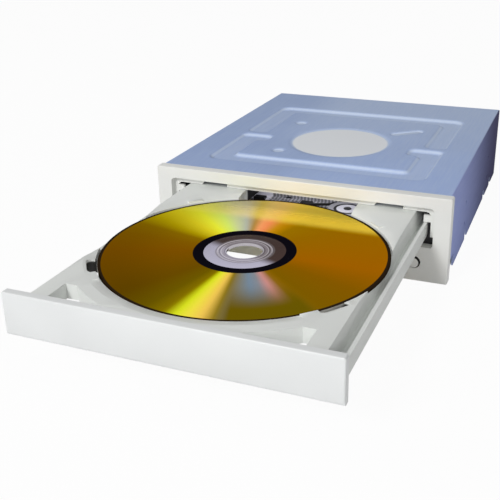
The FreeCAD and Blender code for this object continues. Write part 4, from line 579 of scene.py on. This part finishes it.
def spun(profile, centre, count):
    """A closed profile of (radius, height) turned about an upright axis: x = r cos a, y = r sin a."""
    profile = np.asarray(profile, float)
    angle = np.linspace(0.0, 2 * math.pi, count, endpoint=False)[:, None]
    radius, height = profile[:, 0][None, :], profile[:, 1][None, :]
    points = np.stack([centre[0] + radius * np.cos(angle), centre[1] + radius * np.sin(angle),
                       height + 0 * angle], axis=-1)
    return points.reshape(-1, 3) * MM, quads(count, len(profile), closed=True)


def smooth(piece, degrees):
    """Shades a piece smoothly except across edges that turn by more than the given angle."""
    mesh = piece.data
    mesh.polygons.foreach_set("use_smooth", np.ones(len(mesh.polygons), bool))
    mesh.set_sharp_from_angle(angle=math.radians(degrees))
    mesh.update()


def paint_over(piece, *materials):
    piece.data.materials.clear()
    for material in materials:
        piece.data.materials.append(material)


def paint_nodes(material, *nodes):
    for node in nodes:
        paint_over(frame["nodes"][node], material)


def merged_copy(node, name):
    """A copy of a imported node's mesh with its loose triangles joined into flat faces."""
    mesh = frame["nodes"][node].data.copy()
    mesh.name = name
    cage = bmesh.new()
    cage.from_mesh(mesh)
    bmesh.ops.remove_doubles(cage, verts=cage.verts, dist=2e-6)
    bmesh.ops.dissolve_limit(cage, angle_limit=math.radians(0.6), verts=cage.verts, edges=cage.edges)
    cage.to_mesh(mesh)
    cage.free()
    return mesh


def rounded_copy(node, body, slot, width):
    """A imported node's shape with its moulded edges rounded, shown in the node's place."""
    name = f"{node}_moulding"
    piece = settle(name, merged_copy(node, name), body, slot, node)
    bevel = piece.modifiers.new("edges", "BEVEL")
    bevel.width = width
    bevel.segments = 2
    bevel.limit_method = "ANGLE"
    bevel.angle_limit = math.radians(28.0)
    bevel.miter_outer = "MITER_ARC"
    bevel.use_clamp_overlap = True
    bevel.harden_normals = True
    smooth(piece, 30.0)
    return piece


def rounded_outline(points, radii):
    """Points along a square-cornered outline, each corner turned on its radius: centre + r (cos, sin)."""
    points = np.asarray(points, float)
    radii = np.asarray(radii, float)
    arrive = points - np.roll(points, 1, axis=0)
    leave = np.roll(points, -1, axis=0) - points
    arrive /= np.linalg.norm(arrive, axis=1, keepdims=True)
    leave /= np.linalg.norm(leave, axis=1, keepdims=True)
    angle = np.linspace(0.0, 1.0, 7)[None, :, None] * math.pi / 2
    centre = (points + (leave - arrive) * radii[:, None])[:, None, :]
    sweep = arrive[:, None, :] * np.sin(angle) - leave[:, None, :] * np.cos(angle)
    return (centre + radii[:, None, None] * sweep).reshape(-1, 2)


def depth_inside(x, y, outline):
    """Distance from each grid point to the outline where the point lies inside it, and 0 outside."""
    nearest = np.full(x.shape, 1e9)
    inside = np.zeros(x.shape, bool)
    for (ax, ay), (bx, by) in zip(outline, np.roll(outline, -1, axis=0)):
        run = (bx - ax) ** 2 + (by - ay) ** 2
        if run < 1e-12:
            continue
        t = np.clip(((x - ax) * (bx - ax) + (y - ay) * (by - ay)) / run, 0.0, 1.0)
        nearest = np.minimum(nearest, np.hypot(x - ax - t * (bx - ax), y - ay - t * (by - ay)))
        if ay != by:
            inside ^= ((ay > y) != (by > y)) & (x < (bx - ax) * (y - ay) / (by - ay) + ax)
    return np.where(inside, nearest, 0.0)


def eased(value):
    """3 t^2 - 2 t^3 on 0..1, held beyond."""
    t = np.clip(value, 0.0, 1.0)
    return t * t * (3.0 - 2.0 * t)


# ---- pieces -----------------------------------------------------------------------------


# Places on the lid in millimetres, from its middle and the bezel's face.
DIMPLES = ((-33.5, 101.5), (-26.5, 46.0))
SLOT_START, SLOT_RUN = (25.0, 96.0), (11.0, 9.0)


def dished(distance, radius, slope, depth):
    """Depth of a round pressing: depth * eased((radius - distance) / slope)."""
    return depth * eased((radius - distance) / slope)


def lid_height(x, y, look):
    """Height of the lid's top over the plan, in millimetres: the flat top less the deepest pressing."""
    depth, slope = look.channel_depth / MM, look.channel_slope / MM
    pressings = [depth * eased(depth_inside(x, y, outline) / slope) for outline in channel_outlines()]
    pressings.append(dished(np.hypot(x, y - MARK_BACK), 28.8, 3.0, 0.5))
    for centre_x, centre_y in DIMPLES:
        pressings.append(dished(np.hypot(x - centre_x, y - centre_y), 4.4, 3.6, 1.1))
    slot_x, slot_y = x - SLOT_START[0], y - SLOT_START[1]
    run_x, run_y = SLOT_RUN
    t = np.clip((slot_x * run_x + slot_y * run_y) / (run_x ** 2 + run_y ** 2), 0.0, 1.0)
    pressings.append(dished(np.hypot(slot_x - run_x * t, slot_y - run_y * t), 3.6, 2.6, 1.1))
    return COVER_HIGH.z - np.max(pressings, axis=0)


def channel_outlines():
    """The rear and the front U channel with their turned-in ends, in millimetres from the bezel's face."""
    rear = rounded_outline(
        [(-58.0, 74.8), (-44.5, 74.8), (-44.5, 122.5), (44.5, 122.5), (44.5, 74.8), (58.0, 74.8),
         (58.0, 136.0), (-58.0, 136.0)],
        [4.5, 4.5, 1.5, 1.5, 4.5, 4.5, 7.0, 7.0])
    front = rounded_outline(
        [(-58.0, 21.0), (58.0, 21.0), (58.0, 72.2), (38.0, 72.2), (38.0, 59.2), (44.5, 59.2),
         (44.5, 34.5), (-44.5, 34.5), (-44.5, 59.2), (-38.0, 59.2), (-38.0, 72.2), (-58.0, 72.2)],
        [7.0, 7.0, 4.5, 4.5, 4.5, 1.5, 1.5, 1.5, 1.5, 4.5, 4.5, 4.5])
    return rear, front


def pressed_lid(look):
    """The casing with its top redrawn as one surface z = top - depth(x, y) over an even grid."""
    fold, seam = 0.7, 0.02  # the grid ends a fold's width inside the edges and overlaps by a seam
    half = COVER_HIGH.x - fold
    rear = COVER_HIGH.y - FRONT - fold
    columns = np.linspace(-half, half, 245)
    rows = np.linspace(COVER_LOW.y - FRONT, rear, 277)
    y, x = np.meshgrid(rows, columns, indexing="ij")
    points = np.stack([x, y + FRONT, lid_height(x, y, look)], axis=-1).reshape(-1, 3) * MM
    sheet = bpy.data.meshes.new("pressed_lid_top")
    sheet.from_pydata(points, [], quads(len(rows), len(columns)))
    mesh = merged_copy("top_cover", "pressed_lid")
    cage = bmesh.new()
    cage.from_mesh(mesh)
    cage.normal_update()
    limit_x, limit_y = (half + seam) * MM, (rear + FRONT + seam) * MM
    lowest = (COVER_HIGH.z - 0.95) * MM
    covered = [face for face in cage.faces
               if face.calc_center_median().z > lowest and face.normal.z > -0.3
               and max(abs(v.co.x) for v in face.verts) < limit_x
               and max(v.co.y for v in face.verts) < limit_y]
    bmesh.ops.delete(cage, geom=covered, context="FACES")
    cage.from_mesh(sheet)
    cage.to_mesh(mesh)
    cage.free()
    bpy.data.meshes.remove(sheet)
    return mesh


class DRIVE_OT_casing(Operator):
    """Makes the pressed lid and finishes the pan and its screws"""

    bl_idname = "disc_drive.casing"
    bl_label = "Casing"

    def execute(self, context):
        look = context.scene.drive_casing
        steel = context.scene.drive_inside.steel
        lid = settle("pressed_lid", pressed_lid(look), "drive", "steel_lid", "top_cover")
        smooth(lid, 35.0)
        paint_over(lid, zinc_lid(look))
        paint_nodes(zinc_plain("zinc_pan", shade(steel, 0.95)), "bottom_pan", "clamp_bridge", "clamp_plate")
        paint_nodes(turned_steel("screw_steel", steel), "pan_screws")
        return {"FINISHED"}


class DRIVE_OT_bezel(Operator):
    """Makes the moulded bezel, its button and its lamp window"""

    bl_idname = "disc_drive.bezel"
    bl_label = "Bezel"

    def execute(self, context):
        look = context.scene.drive_front
        bezel = rounded_copy("front_bezel", "drive", "bezel_plastic", look.edge)
        paint_over(bezel, moulded("ivory_plastic", look.bezel))
        button = rounded_copy("eject_button", "eject_key", "bezel_plastic", look.edge * 0.6)
        paint_over(button, button_plastic(look.bezel))
        paint_nodes(clear_plastic("lamp_window", (0.55, 0.62, 0.5)), "led_lens")
        paint_nodes(clear_plastic("lamp_body", (0.3, 0.6, 0.25), 0.3), "status_led")
        return {"FINISHED"}


class DRIVE_OT_tray(Operator):
    """Makes the moulded tray and its front panel"""

    bl_idname = "disc_drive.tray"
    bl_label = "Tray"

    def execute(self, context):
        look = context.scene.drive_front
        tray = rounded_copy("disc_tray", "tray", "tray_plastic", look.edge * 0.9)
        paint_over(tray, tray_plastic(look))
        panel = rounded_copy("tray_front", "tray", "bezel_plastic", look.edge)
        paint_over(panel, moulded("panel_plastic", look.panel, 0.38))
        return {"FINISHED"}


DISC_BOTTOM, DISC_TOP = 30.0, 31.2
DISC_STEPS = 256
HUB, RING, MIRROR, RIM = range(4)


def disc_profile(look):
    """The disc's section from the hole's top edge out, down the rim and back: (radius, height, finish)."""
    low, top = DISC_BOTTOM, DISC_TOP
    inner, outer, mirror = look.ring_inner / MM, look.ring_outer / MM, look.mirror_outer / MM
    return [(7.62, top, HUB), (8.3, top, HUB), (8.5, top - 0.1, HUB), (8.8, top - 0.1, HUB),
            (9.0, top, HUB), (10.6, top, HUB), (10.85, top - 0.14, HUB), (11.25, top - 0.14, HUB),
            (11.5, top, HUB), (inner - 0.9, top, HUB), (inner - 0.6, top - 0.08, HUB),
            (inner, top - 0.08, RING), (inner + 0.1, top, RING), (outer, top, MIRROR),
            (mirror, top, RIM), (59.85, top, RIM), (60.0, top - 0.15, RIM), (60.0, low + 0.15, RIM),
            (59.85, low, RIM), (mirror, low, MIRROR), (outer, low, RING), (inner, low, HUB),
            (7.62, low, HUB), (7.5, low + 0.12, HUB), (7.5, top - 0.12, HUB)]


class DRIVE_OT_disc(Operator):
    """Makes the disc: clear hub, black ring, mirror layer and clear rim"""

    bl_idname = "disc_drive.disc"
    bl_label = "Disc"

    def execute(self, context):
        look = context.scene.drive_disc
        rows = disc_profile(look)
        points, faces = spun([row[:2] for row in rows], DISC_CENTRE, DISC_STEPS)
        disc = lay("disc_layers", points, faces, "tray", "disc_mirror", "disc")
        paint_over(disc, clear_hub(look),
                   moulded("disc_black_ring", (0.006, 0.005, 0.009), 0.3, shine=0.0),
                   mirror_layer(look), clear_rim())
        finishes = np.tile(np.array([row[2] for row in rows], np.int32), DISC_STEPS)
        disc.data.polygons.foreach_set("material_index", finishes)
        smooth(disc, 25.0)
        return {"FINISHED"}


class DRIVE_OT_gear_train(Operator):
    """Makes the gears, pulleys, belt and cam slider that open the tray and lift the spindle"""

    bl_idname = "disc_drive.gear_train"
    bl_label = "Gear train"

    def execute(self, context):
        look = context.scene.drive_inside
        gear = moulded("slick_plastic", look.gear, 0.25, coat=0.3)
        for node, body, plastic in (("tray_gear", "loading_gear", gear),
                                    ("pulley_gear", "pulley", wheel_plastic(look)),
                                    ("motor_pulley", "shaft", gear),
                                    ("cam_slider", "slider", slider_plastic(look))):
            paint_over(rounded_copy(node, body, "gear_plastic", 0.12 * MM), plastic)
        paint_nodes(moulded("belt_rubber", (0.012, 0.012, 0.013), 0.7), "drive_belt")
        return {"FINISHED"}


class DRIVE_OT_inside(Operator):
    """Finishes the inner frame, the traverse with its motors and rods, and the clamp"""

    bl_idname = "disc_drive.inside"
    bl_label = "Inner parts"

    def execute(self, context):
        look = context.scene.drive_inside
        paint_nodes(moulded("frame_plastic", look.frame, 0.5),
                    "left_rail", "right_rail", "gear_deck", "rear_beam", "traverse_frame", "clamp_puck")
        paint_nodes(turned_steel("motor_can", look.steel),
                    "loading_motor", "spindle_motor", "turntable", "sled_motor", "guide_rods", "lead_screw")
        paint_nodes(moulded("soft_rubber", (0.015, 0.015, 0.016), 0.75), "pivot_dampers", "friction_pad")
        paint_nodes(zinc_plain("cast_metal", (0.28, 0.28, 0.31)), "optical_pickup")
        paint_nodes(clear_plastic("lens_glass", (0.35, 0.45, 0.6)), "objective_lens")
        return {"FINISHED"}


class DRIVE_OT_electronics(Operator):
    """Finishes the boards, their packages and the rear sockets"""

    bl_idname = "disc_drive.electronics"
    bl_label = "Electronics"

    def execute(self, context):
        look = context.scene.drive_inside
        paint_nodes(lacquered_board(look), "main_board", "front_board")
        paint_nodes(moulded("socket_plastic", (0.014, 0.014, 0.015), 0.45),
                    "board_chips", "eject_switch", "ide_connector", "audio_connector", "jumper_block")
        paint_nodes(moulded("white_socket", (0.8, 0.79, 0.75), 0.45), "power_connector")
        return {"FINISHED"}


def floor_surface():
    """A floor that turns up behind the drive: flat to y = 1.2 m, then y = 1.2 + sin t, z = 1 - cos t."""
    size, bend = 3.0, 1.2
    t = np.linspace(0.1, 1.0, 12) * math.pi / 2
    across = np.linspace(-size, size, 7)
    along = np.concatenate([np.linspace(-size, bend, 9), bend + np.sin(t)])
    lift = np.concatenate([np.zeros(9), 1.0 - np.cos(t)])
    x, y = np.meshgrid(across, along)
    z = np.repeat(lift[:, None], len(across), axis=1)
    return np.stack([x, y, z], axis=-1).reshape(-1, 3), quads(len(along), len(across))


def floor_paint(look):
    """Pale floor that shows white to the camera and keeps a soft shadow."""
    paint = Paint("studio_floor")
    cloud = paint.noise(3.0)
    tint = paint.mix(cloud, shade(look.floor, 0.99), shade(look.floor, 1.01))
    matt = paint.add("BsdfDiffuse", {"Color": tint}).outputs[0]
    glow = paint.add("Emission", {"Color": grey(1.0), "Strength": 1.0}).outputs[0]
    path = paint.add("LightPath").outputs
    seen = paint.sum("MAXIMUM", path["Is Camera Ray"], path["Is Glossy Ray"])
    seen = paint.sum("MAXIMUM", seen, path["Is Transmission Ray"])
    both = paint.add("MixShader", {0: paint.product(seen, 0.955), 1: matt, 2: glow}).outputs[0]
    paint.tree.links.new(both, paint.output.inputs["Surface"])
    return paint.material


def studio_world(strength):
    """Even white surroundings: full white to the camera and in reflections, softer as a light."""
    world = bpy.data.worlds.new("studio")
    world.use_nodes = True
    tree = world.node_tree
    tree.nodes.clear()
    path = tree.nodes.new("ShaderNodeLightPath")
    mirrored, seen = tree.nodes.new("ShaderNodeMath"), tree.nodes.new("ShaderNodeMath")
    mirrored.operation = seen.operation = "MAXIMUM"
    level = tree.nodes.new("ShaderNodeMapRange")
    level.inputs["To Min"].default_value = strength
    level.inputs["To Max"].default_value = 1.0
    background = tree.nodes.new("ShaderNodeBackground")
    background.inputs["Color"].default_value = (1.0, 1.0, 1.0, 1.0)
    output = tree.nodes.new("ShaderNodeOutputWorld")
    tree.links.new(path.outputs["Is Camera Ray"], mirrored.inputs[0])
    tree.links.new(path.outputs["Is Glossy Ray"], mirrored.inputs[1])
    tree.links.new(mirrored.outputs[0], seen.inputs[0])
    tree.links.new(path.outputs["Is Transmission Ray"], seen.inputs[1])
    tree.links.new(seen.outputs[0], level.inputs["Value"])
    tree.links.new(level.outputs["Result"], background.inputs["Strength"])
    tree.links.new(background.outputs[0], output.inputs["Surface"])
    bpy.context.scene.world = world


def lamp(name, place, target, size, watts, cone=None):
    """A square lamp that faces its target, or a spot with a soft cone where one is given."""
    data = bpy.data.lights.new(name, "SPOT" if cone else "AREA")
    if cone:
        data.spot_size, data.spot_blend, data.shadow_soft_size = cone, 1.0, size
    else:
        data.size = size
    data.energy = watts
    light = bpy.data.objects.new(name, data)
    bpy.context.scene.collection.objects.link(light)
    light.location = place
    light.rotation_euler = (Vector(target) - Vector(place)).to_track_quat("-Z", "Y").to_euler()


def studio_camera(look):
    """The photograph's camera: its place, its turn about three axes, and its off-centre frame."""
    azimuth, elevation, roll = look.azimuth, look.elevation, look.roll
    level = math.cos(elevation)
    ahead = Vector((-math.sin(azimuth) * level, math.cos(azimuth) * level, -math.sin(elevation)))
    right = Vector((math.cos(azimuth), math.sin(azimuth), 0.0))
    up = right.cross(ahead)
    cos, sin = math.cos(roll), math.sin(roll)
    right, up = right * cos + up * sin, up * cos - right * sin
    data = bpy.data.cameras.new("photo_camera")
    data.sensor_width = 36.0
    data.lens = look.lens
    data.shift_x = -0.0484
    data.shift_y = -0.0465
    data.clip_start, data.clip_end = 0.01, 50.0
    camera = bpy.data.objects.new("photo_camera", data)
    bpy.context.scene.collection.objects.link(camera)
    turn = Matrix((right, up, -ahead)).transposed().to_4x4()
    camera.matrix_world = Matrix.Translation(CAMERA_PLACE) @ turn
    bpy.context.scene.camera = camera


class DRIVE_OT_stage(Operator):
    """Makes the floor, the studio light and the camera"""

    bl_idname = "disc_drive.stage"
    bl_label = "Studio"

    def execute(self, context):
        look = context.scene.drive_stage
        points, faces = floor_surface()
        points[:, 2] += BEZEL_LOW.z - 0.2 * MM
        mesh = bpy.data.meshes.new("studio_floor")
        mesh.from_pydata(points, [], faces)
        floor = bpy.data.objects.new("studio_floor", mesh)
        context.scene.collection.objects.link(floor)
        smooth(floor, 60.0)
        paint_over(floor, floor_paint(look))
        studio_world(look.world)
        behind_camera = CAMERA_PLACE * 3.0
        lamp("key_lamp", (-0.29, -1.18, 0.77), (0.0, -0.08, 0.02), 0.3, look.key)
        lamp("fill_lamp", behind_camera, (0.02, -0.08, 0.03), 0.25, look.fill)
        lamp("loader_lamp", (0.0, -0.065, 0.0385), (0.0, -0.0651, 0.0), 0.05, look.loader)
        lamp("opening_lamp", behind_camera, (0.005, -0.07, 0.025), 0.05, look.spot, math.radians(5.0))
        studio_camera(look)
        context.scene.view_settings.view_transform = "Standard"
        return {"FINISHED"}


class DRIVE_PT_pieces(Panel):
    """Lists the sizes and the pieces in the sidebar"""

    bl_idname = "DRIVE_PT_pieces"
    bl_label = "Disc Drive"
    bl_space_type = "VIEW_3D"
    bl_region_type = "UI"
    bl_category = "Disc Drive"

    def draw(self, context):
        layout = self.layout
        for title, group in GROUPS.items():
            values = getattr(context.scene, title)
            column = layout.box().column()
            for name in group.__annotations__:
                column.prop(values, name)
        for operator in OPERATORS:
            layout.operator(operator.bl_idname)


GROUPS = {
    "drive_casing": DriveCasing,
    "drive_front": DriveFront,
    "drive_disc": DriveDisc,
    "drive_inside": DriveInside,
    "drive_stage": DriveStage,
}

OPERATORS = (
    DRIVE_OT_casing,
    DRIVE_OT_bezel,
    DRIVE_OT_tray,
    DRIVE_OT_disc,
    DRIVE_OT_gear_train,
    DRIVE_OT_inside,
    DRIVE_OT_electronics,
    DRIVE_OT_stage,
)


def register():
    for title, group in GROUPS.items():
        bpy.utils.register_class(group)
        setattr(bpy.types.Scene, title, PointerProperty(type=group))
    for operator in OPERATORS:
        bpy.utils.register_class(operator)
    bpy.utils.register_class(DRIVE_PT_pieces)


def unregister():
    bpy.utils.unregister_class(DRIVE_PT_pieces)
    for operator in reversed(OPERATORS):
        bpy.utils.unregister_class(operator)
    for title, group in reversed(GROUPS.items()):
        delattr(bpy.types.Scene, title)
        bpy.utils.unregister_class(group)


def main():
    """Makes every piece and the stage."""
    register()
    for operator in OPERATORS:
        group, name = operator.bl_idname.split(".")
        getattr(getattr(bpy.ops, group), name)()


if __name__ == "__main__":
    main()
